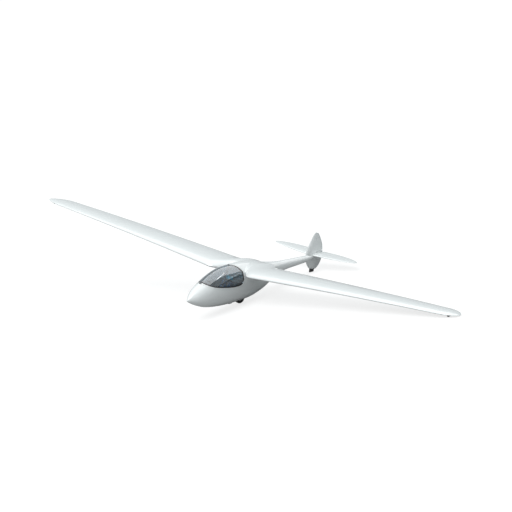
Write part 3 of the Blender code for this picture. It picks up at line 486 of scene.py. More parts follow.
@dataclass(frozen=True)
class Cloth:
    """Woven cloth or webbing.

    Attributes:
        name: The material's name.
        colour: The threads on top.
        under: The threads between them.
        threads: Threads per metre.
        ribs: How many times denser the threads run across than along.
    """

    name: str
    colour: Colour
    under: Colour
    threads: float = 900.0
    ribs: float = 1.0

    def material(self) -> bpy.types.Material:
        """Makes the material: a plain weave, soft sheen and faded patches."""
        paint = Paint(self.name)
        where = paint.place(attitude.inverse)
        turn = 2 * math.pi * self.threads
        along = (paint.axis(where, 0) * turn).sine()
        across = ((paint.axis(where, 1) + paint.axis(where, 2)) * (turn * self.ribs)).sine()
        weave = along * across * 0.5 + 0.5
        worn = paint.noise(where, 14.0, 5.0)
        faded = tuple(min(part * 1.5 + 0.02, 1.0) for part in self.colour)
        shade = paint.mix(worn.step(0.4, 0.8), self.colour, faded)
        return paint.finish(
            base_color=paint.mix(weave * 0.6, shade, self.under),
            roughness=0.82 + worn * 0.12,
            sheen_weight=0.35,
            sheen_roughness=0.4,
            normal=paint.bump(weave, 0.5, 0.0004),
        )


@dataclass(frozen=True)
class Glow:
    """A flat paint with little grain, for dial marks and knobs.

    Attributes:
        name: The material's name.
        colour: Its colour.
        roughness: Its roughness.
    """

    name: str
    colour: Colour
    roughness: float = 0.35

    def material(self) -> bpy.types.Material:
        """Makes the material."""
        paint = Paint(self.name)
        where = paint.place(attitude.inverse)
        patches = paint.noise(where, 60.0, 4.0)
        dark = tuple(part * 0.8 for part in self.colour)
        return paint.finish(
            base_color=paint.mix(patches, self.colour, dark),
            roughness=self.roughness + patches * 0.15,
            normal=paint.bump(patches, 0.1, 0.0002),
        )


class Palette:
    """The finishes in use, each made once."""

    def __init__(self) -> None:
        """Starts empty."""
        self.made: dict[str, bpy.types.Material] = {}
        self.finishes = {
            "gelcoat": Gelcoat(),
            "glass": TintedGlass(),
            "frame": SatinCoat("canopy_frame_black", (0.018, 0.018, 0.021), (0.07, 0.07, 0.07), 0.38),
            "cabin": SatinCoat("cabin_grey", (0.085, 0.09, 0.095), (0.13, 0.135, 0.14), 0.62, 500.0, 0.0006),
            "trim": SatinCoat("moulded_trim", (0.10, 0.105, 0.11), (0.17, 0.17, 0.17), 0.6, 420.0, 0.0008),
            "shelf": SatinCoat("shelf_grey", (0.42, 0.43, 0.42), (0.50, 0.50, 0.49), 0.62, 420.0, 0.0006),
            "black": SatinCoat("instrument_black", (0.016, 0.016, 0.018), (0.06, 0.06, 0.06), 0.55, 900.0),
            "well": SatinCoat("wheel_well_grey", (0.34, 0.345, 0.35), (0.20, 0.185, 0.16), 0.7, 200.0, 0.001),
            "steel": BrushedMetal("plated_steel", (0.50, 0.50, 0.51)),
            "alloy": BrushedMetal("bare_alloy", (0.66, 0.67, 0.69), 0.26),
            "tyre": Rubber("tyre_rubber"),
            "rubber": Rubber("skid_rubber", (0.03, 0.03, 0.032)),
            "blue": Cloth("blue_upholstery", (0.020, 0.15, 0.34), (0.008, 0.06, 0.15)),
            "cyan": Cloth("headrest_blue", (0.14, 0.74, 0.93), (0.06, 0.42, 0.60)),
            "webbing": Cloth("harness_webbing", (0.16, 0.17, 0.19), (0.07, 0.075, 0.085), 700.0, 1.5),
            "mark": Glow("dial_mark", (0.80, 0.80, 0.76), 0.5),
            "dial": Glow("dial_face", (0.010, 0.010, 0.011), 0.6),
            "blue_knob": Glow("airbrake_knob", (0.02, 0.12, 0.52)),
            "green_knob": Glow("trim_knob", (0.02, 0.30, 0.07)),
            "red_knob": Glow("brake_knob", (0.50, 0.025, 0.02)),
        }

    def get(self, name: str) -> bpy.types.Material:
        """A finish's material.

        Args:
            name: The finish's short name.

        Returns:
            The material, made on first use.
        """
        if name not in self.made:
            self.made[name] = self.finishes[name].material()
        return self.made[name]


palette = Palette()


# Modelling by operators


def take(piece: bpy.types.Object) -> None:
    """Makes one object the only one selected, and active."""
    bpy.ops.object.select_all(action="DESELECT")
    piece.select_set(True)
    bpy.context.view_layer.objects.active = piece


@contextmanager
def editing(piece: bpy.types.Object, mode: str = "FACE") -> Iterator[bmesh.types.BMesh]:
    """Opens a piece in edit mode with nothing selected.

    Args:
        piece: The piece.
        mode: VERT, EDGE or FACE.

    Yields:
        The edit mesh, for choosing what to select.
    """
    take(piece)
    bpy.ops.object.mode_set(mode="EDIT")
    bpy.ops.mesh.select_mode(type=mode)
    bpy.ops.mesh.select_all(action="DESELECT")
    yield bmesh.from_edit_mesh(piece.data)
    bpy.ops.object.mode_set(mode="OBJECT")


def named(name: str) -> bpy.types.Object:
    """Names the object that an operator has just added."""
    made = bpy.context.object
    made.name = name
    made.data.name = name
    return made


def added(name: str, data: bpy.types.ID) -> bpy.types.Object:
    """Adds an object with its data to the scene.

    Args:
        name: Its name.
        data: Its mesh, camera or light.

    Returns:
        The object.
    """
    made = bpy.data.objects.new(name, data)
    bpy.context.scene.collection.objects.link(made)
    return made


def copied(node: str, name: str) -> bpy.types.Object:
    """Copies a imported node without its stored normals, and selects the copy.

    Args:
        node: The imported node.
        name: The copy's name.

    Returns:
        The copy.
    """
    copy = added(name, frame["nodes"][node].data.copy())
    take(copy)
    bpy.ops.mesh.customdata_custom_splitnormals_clear()
    return copy


def block(name: str, centre: Point, size: Point, rounding: float = 0.0) -> bpy.types.Object:
    """A box with rounded edges.

    Args:
        name: Its name.
        centre: Its middle.
        size: Its sides.
        rounding: Radius of its edges.

    Returns:
        The box.
    """
    bpy.ops.object.select_all(action="DESELECT")
    bpy.ops.mesh.primitive_cube_add(size=1.0, location=centre)
    made = named(name)
    made.scale = size
    bpy.ops.object.transform_apply(location=True, rotation=True, scale=True)
    if rounding:
        with editing(made):
            bpy.ops.mesh.select_all(action="SELECT")
            bpy.ops.mesh.bevel(offset=rounding, segments=2, profile=0.5)
    return made


def drum(
    name: str,
    start: Point,
    end: Point,
    radius: float,
    sides: int = 24,
    rounding: float = 0.0,
    end_radius: float | None = None,
) -> bpy.types.Object:
    """A round bar between two points, with its rims rounded.

    Args:
        name: Its name.
        start: Middle of one end.
        end: Middle of the other.
        radius: Its radius.
        sides: Faces around.
        rounding: Radius of its rims.
        end_radius: Radius at the other end, where it differs.

    Returns:
        The bar.
    """
    first = Vector(start)
    last = Vector(end)
    turn = (last - first).to_track_quat("Z", "Y").to_euler()
    bpy.ops.object.select_all(action="DESELECT")
    bpy.ops.mesh.primitive_cone_add(
        vertices=sides,
        radius1=radius,
        radius2=radius if end_radius is None else end_radius,
        depth=(last - first).length,
        location=(first + last) / 2,
        rotation=turn,
    )
    made = named(name)
    bpy.ops.object.transform_apply(location=True, rotation=True, scale=True)
    if rounding:
        with editing(made, "EDGE") as edit:
            for edge in edit.edges:
                edge.select_set(any(len(face.verts) > 4 for face in edge.link_faces))
            bmesh.update_edit_mesh(made.data)
            bpy.ops.mesh.bevel(offset=rounding, segments=2, profile=0.5)
    return made


def ring(
    name: str,
    centre: Point,
    normal: Point,
    radius: float,
    thick: float,
    sides: int,
) -> bpy.types.Object:
    """A round ring.

    Args:
        name: Its name.
        centre: Its middle.
        normal: Its axis.
        radius: Radius of its centre line.
        thick: Radius of its section.
        sides: Steps around.

    Returns:
        The ring.
    """
    turn = Vector(normal).to_track_quat("Z", "Y").to_euler()
    bpy.ops.object.select_all(action="DESELECT")
    bpy.ops.mesh.primitive_torus_add(
        major_radius=radius,
        minor_radius=thick,
        major_segments=sides,
        minor_segments=8,
        location=centre,
        rotation=turn,
    )
    made = named(name)
    bpy.ops.object.transform_apply(location=True, rotation=True, scale=True)
    return made


def merged(pieces: Sequence[bpy.types.Object], name: str) -> bpy.types.Object:
    """Joins pieces into one.

    Args:
        pieces: The pieces.
        name: The name of the whole.

    Returns:
        The whole.
    """
    bpy.ops.object.select_all(action="DESELECT")
    for piece in pieces:
        piece.select_set(True)
    bpy.context.view_layer.objects.active = pieces[0]
    if len(pieces) > 1:
        bpy.ops.object.join()
    return named(name)


def repeat_round(piece: bpy.types.Object, count: int, centre: Point, axis: Point) -> bpy.types.Object:
    """Copies a piece's mesh round an axis until it stands there a number of times.

    Args:
        piece: The piece.
        count: How many there are in the end.
        centre: A point on the axis.
        axis: The axis.

    Returns:
        The piece.
    """
    turn = 2 * math.pi * (count - 1) / count
    with editing(piece):
        bpy.ops.mesh.select_all(action="SELECT")
        bpy.ops.mesh.spin(steps=count - 1, dupli=True, angle=turn, center=centre, axis=axis)
    return piece


def change(piece: bpy.types.Object, kind: str, **settings: object) -> bpy.types.Object:
    """Adds a modifier and applies it.

    Args:
        piece: The piece.
        kind: The modifier's type.
        settings: Its settings.

    Returns:
        The piece.
    """
    take(piece)
    modifier = piece.modifiers.new(kind.title(), kind)
    for name, value in settings.items():
        setattr(modifier, name, value)
    bpy.ops.object.modifier_apply(modifier=modifier.name)
    return piece


def smooth(piece: bpy.types.Object, degrees: float = 35.0) -> bpy.types.Object:
    """Shades a piece smooth, but for edges sharper than an angle."""
    take(piece)
    bpy.ops.object.shade_smooth_by_angle(angle=math.radians(degrees))
    return piece


def dress(piece: bpy.types.Object, *finishes: str) -> bpy.types.Object:
    """Gives a piece its materials, the first one on every face."""
    piece.data.materials.clear()
    for name in finishes:
        piece.data.materials.append(palette.get(name))
    return piece


def hand_over(piece: bpy.types.Object, body: str, slot: str, *nodes: str) -> bpy.types.Object:
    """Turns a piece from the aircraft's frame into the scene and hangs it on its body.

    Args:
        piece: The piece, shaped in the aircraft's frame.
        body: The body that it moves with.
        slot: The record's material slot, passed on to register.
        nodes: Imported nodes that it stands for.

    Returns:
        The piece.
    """
    piece.matrix_world = attitude.matrix @ piece.matrix_basis
    take(piece)
    bpy.ops.object.transform_apply(location=True, rotation=True, scale=True)
    return register(piece, body, slot, *nodes)


def register(piece: bpy.types.Object, body: str, slot: str, *nodes: str) -> bpy.types.Object:
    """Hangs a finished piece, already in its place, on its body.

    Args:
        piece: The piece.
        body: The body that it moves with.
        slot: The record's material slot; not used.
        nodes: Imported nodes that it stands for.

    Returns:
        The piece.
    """
    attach(piece, body)
    if nodes:
        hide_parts(*nodes)
    log.info("%s: %d faces on %s", piece.name, len(piece.data.polygons), body)
    return piece


def deliver(
    parts: Sequence[bpy.types.Object],
    name: str,
    finish: str,
    body: str,
    slot: str,
    degrees: float = 35.0,
    place: Vector | None = None,
) -> bpy.types.Object:
    """Joins parts into one piece, smooths and dresses it, and hands it over.

    Args:
        parts: The parts, shaped in the aircraft's frame.
        name: The whole piece's name.
        finish: Its finish.
        body: The body that it moves with.
        slot: The record's material slot, passed on to hand_over.
        degrees: Edges sharper than this stay sharp.
        place: Where it goes, when it was shaped at the origin.

    Returns:
        The piece.
    """
    whole = smooth(merged(parts, name), degrees)
    dress(whole, finish)
    if place is not None:
        whole.location = place
    return hand_over(whole, body, slot)


# Skins


@dataclass
class Skin:
    """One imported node, dressed as a smooth copy of itself.

    Attributes:
        node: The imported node.
        finish: Its finish.
        crease: Edges sharper than this many degrees stay sharp.
        rounding: Radius given to its sharp edges.
    """

    node: str
    finish: str
    crease: float = 35.0
    rounding: float = 0.0

    def build(self, bodies: dict[str, str], slots: dict[str, str]) -> bpy.types.Object:
        """Copies the node, joins its loose triangles and shades it smooth.

        Args:
            bodies: The body of each node.
            slots: The material slot of each node.

        Returns:
            The copy.
        """
        copy = copied(self.node, f"{self.node}_skin")
        with editing(copy, "VERT"):
            bpy.ops.mesh.select_all(action="SELECT")
            bpy.ops.mesh.remove_doubles(threshold=MERGE)
            bpy.ops.mesh.tris_convert_to_quads(face_threshold=0.35, shape_threshold=0.7)
        if self.rounding:
            change(
                copy,
                "BEVEL",
                width=self.rounding,
                segments=2,
                limit_method="ANGLE",
                angle_limit=math.radians(max(self.crease, SHARP)),
                harden_normals=False,
            )
        smooth(copy, self.crease)
        change(copy, "WEIGHTED_NORMAL", keep_sharp=True)
        dress(copy, self.finish)
        self.line(copy)
        return register(copy, bodies[self.node], slots[self.node], self.node)

    def line(self, copy: bpy.types.Object) -> None:
        """Leaves every face as it is; a shell with an inside gives its inner faces their own finish."""


@dataclass
class CockpitSkin(Skin):
    """The nose pod: white outside, grey inside.

    Attributes:
        axis_height: Height of the middle of the section at y = 0.
        axis_slope: How the middle of the section rises along the pod.
        front: Ahead of this y the pod's faces turn towards its tip.
        rear: Aft of this y the shell's end face begins.
    """

    axis_height: float = -0.33
    axis_slope: float = 0.085
    front: float = -1.2
    rear: float = 0.399

    def line(self, copy: bpy.types.Object) -> None:
        """Paints every face that looks at the cabin's middle grey."""
        copy.data.materials.append(palette.get("cabin"))
        turn = attitude.inverse
        for face in copy.data.polygons:
            centre = turn @ face.center
            normal = turn.to_3x3() @ face.normal
            middle = self.axis_height + self.axis_slope * min(centre.y, 0.0)
            outward = Vector((centre.x, min(centre.y - self.front, 0.0), centre.z - middle))
            if normal.dot(outward) < 0.0 and centre.y < self.rear:
                face.material_index = 1


@dataclass
class BrakeSkin(Skin):
    """An airbrake: a bare blade under a white cap that closes its slot.

    Attributes:
        cap: Thickness of the cap.
    """

    cap: float = 0.0054

    def line(self, copy: bpy.types.Object) -> None:
        """Paints the cap's faces white."""
        copy.data.materials.append(palette.get("gelcoat"))
        slide = next(joint for joint in frame["joints"] if joint["name"] == f"{self.node}_slide")
        up = Vector(slide["axis"]).normalized()
        top = max(vertex.co.dot(up) for vertex in copy.data.vertices)
        for face in copy.data.polygons:
            if face.center.dot(up) > top - self.cap:
                face.material_index = 1


@dataclass
class WellSkin(Skin):
    """The middle fuselage: white outside, with a grey wheel well.

    Attributes:
        half_width: Half the well's width.
        half_length: Half its length, from the wheel's middle.
        wall_top: Height of its walls over the wheel's middle.
        wall_foot: The belly, as z.
        roof: Height of its roof over the wheel's middle.
        slack: How far a face of the roof may lie from that height.
        level: Upward share of a normal past which a face is no wall.
    """

    half_width: float = 0.0865
    half_length: float = 0.2025
    wall_top: float = 0.204
    wall_foot: float = -0.9
    roof: float = 0.202
    slack: float = 0.004
    level: float = 0.99

    def line(self, copy: bpy.types.Object) -> None:
        """Paints the faces inside the wheel well grey."""
        copy.data.materials.append(palette.get("well"))
        turn = attitude.inverse
        wheel = attitude.joint_centre("main_wheel_spin")
        for face in copy.data.polygons:
            centre = turn @ face.center
            over = centre - wheel
            inside = abs(centre.x) < self.half_width and abs(over.y) < self.half_length
            upright = abs((turn.to_3x3() @ face.normal).z) < self.level
            wall = upright and over.z < self.wall_top and centre.z > self.wall_foot
            if inside and (wall or abs(over.z - self.roof) < self.slack):
                face.material_index = 1


@dataclass
class Airframe:
    """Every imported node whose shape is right, dressed in place."""

    skins: list[Skin] = field(
        default_factory=lambda: [
            CockpitSkin("cockpit_shell", "gelcoat", 32.0),
            WellSkin("centre_fuselage", "gelcoat", 38.0),
            Skin("tail_boom", "gelcoat", 40.0),
            Skin("fin", "gelcoat", 58.0),
            Skin("rudder_upper", "gelcoat", 48.0),
            Skin("rudder_lower", "gelcoat", 48.0),
            Skin("rudder_post", "steel"),
            Skin("stabilizer_left", "gelcoat", 58.0),
            Skin("stabilizer_right", "gelcoat", 58.0),
            Skin("elevator_left", "gelcoat", 48.0),
            Skin("elevator_right", "gelcoat", 48.0),
            Skin("wing_left", "gelcoat", 58.0),
            Skin("wing_right", "gelcoat", 58.0),
            Skin("aileron_left", "gelcoat", 48.0),
            Skin("aileron_right", "gelcoat", 48.0),
            BrakeSkin("airbrake_left", "alloy", 30.0),
            BrakeSkin("airbrake_right", "alloy", 30.0),
            Skin("wingtip_skid_left", "rubber", 50.0),
            Skin("wingtip_skid_right", "rubber", 50.0),
            Skin("tail_skid", "rubber", 50.0),
            Skin("canopy_frame", "frame", 40.0),
            Skin("canopy_glass", "glass", 40.0),
            Skin("canopy_hinge", "steel", 30.0, 0.0012),
            Skin("main_hub", "alloy", 32.0),
            Skin("main_axle", "steel"),
            Skin("wheel_fork", "steel", 30.0, 0.0015),
            Skin("tow_release", "steel", 35.0),
            Skin("seat_pan", "trim", 30.0),
            Skin("rear_shelf", "shelf", 30.0, 0.0012),
            Skin("side_console_left", "trim", 30.0, 0.002),
            Skin("side_console_right", "trim", 30.0, 0.002),
            Skin("instrument_panel", "black", 30.0, 0.0008),
            Skin("glare_shield", "black", 40.0, 0.0008),
            Skin("control_stick", "black", 40.0),
            Skin("rudder_pedals", "steel", 35.0),
            Skin("airbrake_lever", "blue_knob", 40.0, 0.0015),
            Skin("trim_lever", "green_knob", 40.0, 0.0015),
            Skin("gear_brake_lever", "red_knob", 40.0, 0.0015),
        ]
    )

    def build(self) -> None:
        """Dresses each skin."""
        bodies = {}
        for body, nodes in frame["record"]["behaviour"]["bodies"].items():
            bodies.update(dict.fromkeys(nodes, body))
        slots = {part["node"]: part["material_slot"] for part in frame["record"]["subparts"]}
        for skin in self.skins:
            skin.build(bodies, slots)


# Wheel


@dataclass
class Tyre:
    """The main wheel's tyre, with ribs and a bead.

    Attributes:
        radius: Its outer radius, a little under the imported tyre's.
        rim: Radius of its bead seat.
        half: Half its width.
        grooves: Distance of each groove from the middle.
        groove_depth: Depth of a groove.
        groove_half: Half a groove's width.
        tread: Half the width that grooves are cut in.
        square_across: Power that squares the section sideways, under 1.
        square_out: Power that squares it outwards, under 1.
        tuck: Share by which the bead is narrower than the section's middle.
    """

    radius: float = 0.1778
    rim: float = 0.1053
    half: float = 0.0585
    grooves: tuple[float, ...] = (0.0, 0.017, 0.034)
    groove_depth: float = 0.0045
    groove_half: float = 0.0035
    tread: float = 0.046
    square_across: float = 0.76
    square_out: float = 0.86
    tuck: float = 0.40

    def height(self, across: float) -> float:
        """How far the nearest groove cuts in at a place across the tread."""
        gap = min(abs(abs(across) - groove) for groove in self.grooves)
        return self.groove_depth * (1.0 - min(gap / self.groove_half, 1.0)) ** 0.5

    def build(self) -> None:
        """Spins the section about the axle and hangs the tyre on the wheel."""
        centre = attitude.joint_centre("main_wheel_spin")
        bpy.ops.object.select_all(action="DESELECT")
        bpy.ops.mesh.primitive_circle_add(vertices=160, radius=1.0, location=(0, 0, 0))
        tyre = named("tyre_ribbed")
        middle = (self.radius + self.rim) / 2
        deep = (self.radius - self.rim) / 2
        for vertex in tyre.data.vertices:
            angle = math.atan2(vertex.co.y, vertex.co.x)
            side, outer = math.cos(angle), math.sin(angle)
            across = math.copysign(abs(side) ** self.square_across, side) * self.half
            out = math.copysign(abs(outer) ** self.square_out, outer) * deep
            if out < 0.0:
                across *= 1.0 - self.tuck * (out / deep) ** 2
            elif abs(across) < self.tread:
                out -= self.height(across)
            vertex.co = (across, 0.0, middle + out)
        with editing(tyre, "EDGE"):
            bpy.ops.mesh.select_all(action="SELECT")
            bpy.ops.mesh.spin(steps=96, angle=2 * math.pi, center=(0, 0, 0), axis=(1, 0, 0))
            bpy.ops.mesh.select_all(action="SELECT")
            bpy.ops.mesh.remove_doubles(threshold=0.0001)
            bpy.ops.mesh.normals_make_consistent(inside=False)
        smooth(tyre, 50.0)
        dress(tyre, "tyre")
        tyre.location = centre
        hand_over(tyre, "main_wheel", "tyre", "main_tyre")


@dataclass
class HubFittings:
    """Bolts round the hub, its valve and the axle's nuts.

    Attributes:
        count: Bolts on each side.
        circle: Radius of the bolt circle.
        face: Distance of the hub's face from the middle.
        nut: Distance of the axle's nuts from the middle.
    """

    count: int = 6
    circle: float = 0.060
    face: float = 0.020
    nut: float = 0.0785

    def build(self) -> None:
        """Models one bolt of each side, copies it round, and adds the valve and the axle's nuts."""
        parts = [drum("valve", (0.034, 0.0, 0.082), (0.052, 0.0, 0.074), 0.0035, 12, 0.0006)]
        nuts = []
        for side in (1, -1):
            foot = Vector((side * self.face, self.circle, 0.0))
            outward = Vector((side, 0.0, 0.0))
            head = drum("bolt", foot, foot + outward * 0.006, 0.0062, 6, 0.0008)
            washer = drum("washer", foot, foot + outward * 0.0014, 0.0085, 20)
            parts.append(repeat_round(merged([head, washer], "bolts"), self.count, (0, 0, 0), (1, 0, 0)))
            nuts.append(drum("nut", outward * self.nut, outward * (self.nut + 0.006), 0.016, 6, 0.0012))
        middle = attitude.joint_centre("main_wheel_spin")
        deliver(parts, "hub_bolts", "steel", "main_wheel", "steel", 30.0, middle)
        deliver(nuts, "axle_nuts", "steel", "airframe", "steel", 30.0, middle)


# Seat


class Quilting(Enum):
    """How a cushion is sewn."""

    CHANNELS = "channels"
    PLAIN = "plain"


@dataclass
class Cushion:
    """A stuffed piece in the place of its packed block.

    Attributes:
        node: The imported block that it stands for.
        quilting: How it is sewn.
        channels: Number of sewn channels across its length.
        voxel: Size of the mesh's cells before it is blown up.
        shrink: How much smaller it starts.
        cap: The furthest that a point may move.
        seam: Half the width of a sewn channel's dip.
        seam_depth: Depth of the dip.
        finish: Its cloth.
        pressure: Pressure of the stuffing in the cloth simulation.
        mass: Mass of each point of it.
        frames: Frames that it is blown up for.
        facing: Share of a normal towards the pilot over which a face is sewn.
    """

    node: str
    quilting: Quilting
    channels: int = 0
    voxel: float = 0.006
    shrink: float = 0.006
    cap: float = 0.010
    seam: float = 0.012
    seam_depth: float = 0.006
    finish: str = "blue"
    pressure: float = 4.0
    mass: float = 0.3
    frames: int = 20
    facing: float = 0.4

    def build(self) -> None:
        """Copies the block, blows it up like a cushion, sews it and hangs it on the airframe."""
        piece = copied(self.node, f"{self.node}_stuffed")
        with editing(piece, "VERT"):
            bpy.ops.mesh.select_all(action="SELECT")
            bpy.ops.mesh.remove_doubles(threshold=MERGE)
            bpy.ops.mesh.normals_make_consistent(inside=False)
            bpy.ops.transform.shrink_fatten(value=-self.shrink)
        change(piece, "REMESH", mode="VOXEL", voxel_size=self.voxel)
        self.inflate(piece)
        change(piece, "SUBSURF", levels=1, render_levels=1)
        if self.quilting is Quilting.CHANNELS:
            self.sew(piece)
        smooth(piece, 180.0)
        dress(piece, self.finish)
        register(piece, "airframe", "upholstery", self.node)

    def inflate(self, piece: bpy.types.Object) -> None:
        """Blows the piece up with Cloth and holds each point near its start.

        Args:
            piece: The remeshed piece.
        """
        scene = bpy.context.scene
        start = [vertex.co.copy() for vertex in piece.data.vertices]
        cloth = piece.modifiers.new("Stuffing", "CLOTH")
        cloth.settings.use_pressure = True
        cloth.settings.uniform_pressure_force = self.pressure
        cloth.settings.effector_weights.gravity = 0.0
        cloth.settings.mass = self.mass
        cloth.point_cache.frame_start = 1
        cloth.point_cache.frame_end = self.frames
        for number in range(1, self.frames + 1):
            scene.frame_set(number)
        take(piece)
        bpy.ops.object.modifier_apply(modifier=cloth.name)
        scene.frame_set(1)
        for vertex, first in zip(piece.data.vertices, start):
            move = vertex.co - first
            if move.length > self.cap:
                vertex.co = first + move * (self.cap / move.length)

    def sew(self, piece: bpy.types.Object) -> None:
        """Presses the sewn channels into the face that the pilot sits against.

        Args:
            piece: The stuffed piece.
        """
        turn = attitude.matrix.to_3x3()
        lean = turn @ self.direction()
        front = turn @ Vector((1, 0, 0)).cross(self.direction())
        across = [vertex.co.dot(lean) for vertex in piece.data.vertices]
        facing = [vertex.normal.dot(front) > self.facing for vertex in piece.data.vertices]
        low = min(across)
        span = max(across) - low
        for vertex, place, faces_pilot in zip(piece.data.vertices, across, facing):
            share = (place - low) / span * self.channels
            near = abs(share - round(share)) / self.channels * span
            if faces_pilot and 0.5 < share < self.channels - 0.5 and near < self.seam:
                vertex.co -= front * self.seam_depth * (1.0 - near / self.seam) ** 1.5

    def direction(self) -> Vector:
        """The cushion's length in the aircraft's frame."""
        if self.node == "seat_cushion":
            return Vector((0.0, -0.995, 0.10)).normalized()
        return Vector((0.0, 0.569, 0.822)).normalized()


@dataclass
class Harness:
    """Shoulder and lap straps with their buckle, lying on the cushions.

    Attributes:
        width: Width of the webbing.
        thick: Its thickness.
        shoulder: How far each shoulder strap lies from the middle.
        slider: How far up the back the sliders sit.
        foot: Where the back cushion's lower end lies.
        lean: The way that the back leans.
        lift: How high the straps lie over the back's middle line.
        shelf: Each shoulder strap's way over the rear shelf, as y and z.
        rests: How far up the back the shoulder straps' points lie, from the top down.
        lap: A lap strap's way from the hip to the buckle, on the port side.
    """

    width: float = 0.044
    thick: float = 0.0022
    shoulder: float = 0.085
    slider: float = 0.40
    foot: Point = (0.0, -0.27, -0.735)
    lean: Point = (0.0, 0.36, 0.52)
    lift: float = 0.083
    shelf: tuple[tuple[float, float], ...] = ((0.30, -0.196), (0.20, -0.193))
    rests: tuple[float, ...] = (0.56, 0.46, 0.34, 0.22, 0.10)
    lap: tuple[Point, ...] = (
        (0.215, -0.29, -0.700),
        (0.185, -0.330, -0.672),
        (0.115, -0.375, -0.676),
        (0.035, -0.400, -0.686),
    )

    def ribbon(self, name: str, path: Sequence[Point], side: Vector | None = None) -> bpy.types.Object:
        """A strap along a path.

        Args:
            name: Its name.
            path: Points along its middle.
            side: The direction across it, or none to take the aircraft's x axis.

        Returns:
            The strap.
        """
        across = (side or Vector((1, 0, 0))).normalized() * self.width
        steps = len(path) - 1
        bpy.ops.object.select_all(action="DESELECT")
        bpy.ops.mesh.primitive_grid_add(x_subdivisions=2, y_subdivisions=steps, size=1.0, location=(0, 0, 0))
        strap = named(name)
        for vertex in strap.data.vertices:
            vertex.co = Vector(path[round((vertex.co.y + 0.5) * steps)]) + across * vertex.co.x
        change(strap, "SUBSURF", levels=2, render_levels=2)
        change(strap, "SOLIDIFY", thickness=self.thick, offset=0.0)
        return strap

    def build(self) -> None:
        """Lays the straps and the buckle."""
        foot = Vector(self.foot)
        lean = Vector(self.lean).normalized()
        out = Vector((0.0, -lean.z, lean.y))
        straps = []
        for side in (1, -1):
            x = side * self.shoulder
            path = [Vector((x, y, z)) for y, z in self.shelf]
            top = foot + lean * 0.605
            path.append(top + out * 0.080 + Vector((x, 0.02, 0.012)))
            for share in self.rests:
                path.append(foot + lean * share + out * self.lift + self.aside(x, share))
            path.append(Vector((side * 0.030, -0.385, -0.682)))
            straps.append(self.ribbon("shoulder", path))
            lap = [Vector((side * x, y, z)) for x, y, z in self.lap]
            straps.append(self.ribbon("lap", lap, Vector((0, 1, -0.1))))
        deliver(straps, "harness_straps", "webbing", "airframe", "upholstery", 40.0)
        metal = [
            drum("buckle", (0, -0.405, -0.690), (0, -0.400, -0.668), 0.030, 40, 0.003),
            drum("button", (0, -0.400, -0.668), (0, -0.3985, -0.661), 0.019, 32, 0.002),
        ]
        for side in (1, -1):
            metal.append(block("tongue", (side * 0.042, -0.392, -0.680), (0.034, 0.03, 0.004), 0.0015))
            aside = self.aside(side * self.shoulder, self.slider)
            middle = foot + lean * self.slider + out * (self.lift + 0.003) + aside
            metal.append(block("slider", middle, (0.056, 0.022, 0.006), 0.002))
        deliver(metal, "harness_buckle", "steel", "airframe", "steel")

    def aside(self, x: float, share: float) -> Vector:
        """How far from the middle a shoulder strap lies: the straps close in towards the lap."""
        return Vector((x * (0.35 + share), 0, 0))


# Instruments and controls


@dataclass
class Dial:
    """One round instrument.

    Attributes:
        x: Its place across the panel.
        z: Its height.
        radius: Its bezel's radius.
        ticks: Marks round its face.
        needle: Its needle's angle in degrees, clockwise from the top.
    """

    x: float
    z: float
    radius: float
    ticks: int
    needle: float

    def parts(self, face: float) -> dict[str, list[bpy.types.Object]]:
        """Models the bezel, the face, the marks and the needle.

        Args:
            face: The panel's aft face, as y.

        Returns:
            The pieces by finish.
        """
        middle = Vector((self.x, face, self.z))
        case = drum("case", middle, middle + AFT * 0.006, self.radius, 48, 0.0012)
        bezel = ring("bezel", middle + AFT * 0.0065, (0, 1, 0), self.radius * 0.90, self.radius * 0.07, 48)
        plate = drum("plate", middle + AFT * 0.0055, middle + AFT * 0.0068, self.radius * 0.84, 48)
        marks = [self.scale(middle, self.ticks, 0.09), self.scale(middle, self.ticks // 5, 0.16)]
        angle = math.radians(self.needle)
        tip = middle + AFT * 0.0085 + Vector((math.sin(angle), 0, math.cos(angle))) * self.radius * 0.70
        marks.append(drum("needle", middle + AFT * 0.0085, tip, 0.0013, 8, end_radius=0.0004))
        boss = drum("boss", middle + AFT * 0.0068, middle + AFT * 0.0095, self.radius * 0.09, 20)
        screws = []
        for corner in range(4):
            turn = math.pi / 4 + corner * math.pi / 2
            spot = middle + Vector((math.cos(turn), 0, math.sin(turn))) * self.radius * 1.12
            screws.append(drum("screw", spot, spot + AFT * 0.0018, 0.0026, 12, 0.0005))
        return {"black": [case, bezel, boss], "dial": [plate], "mark": marks, "steel": screws}

    def scale(self, middle: Vector, count: int, share: float) -> bpy.types.Object:
        """Marks set round the face.

        Args:
            middle: The dial's middle on the panel.
            count: Number of marks.
            share: A mark's length as a share of the radius.

        Returns:
            The marks as one piece.
        """
        long = self.radius * share
        top = middle + Vector((0, 0.0070, self.radius * 0.80 - long / 2))
        mark = block("marks", top, (self.radius * 0.028, 0.0008, long))
        return repeat_round(mark, count, middle, (0, 1, 0))


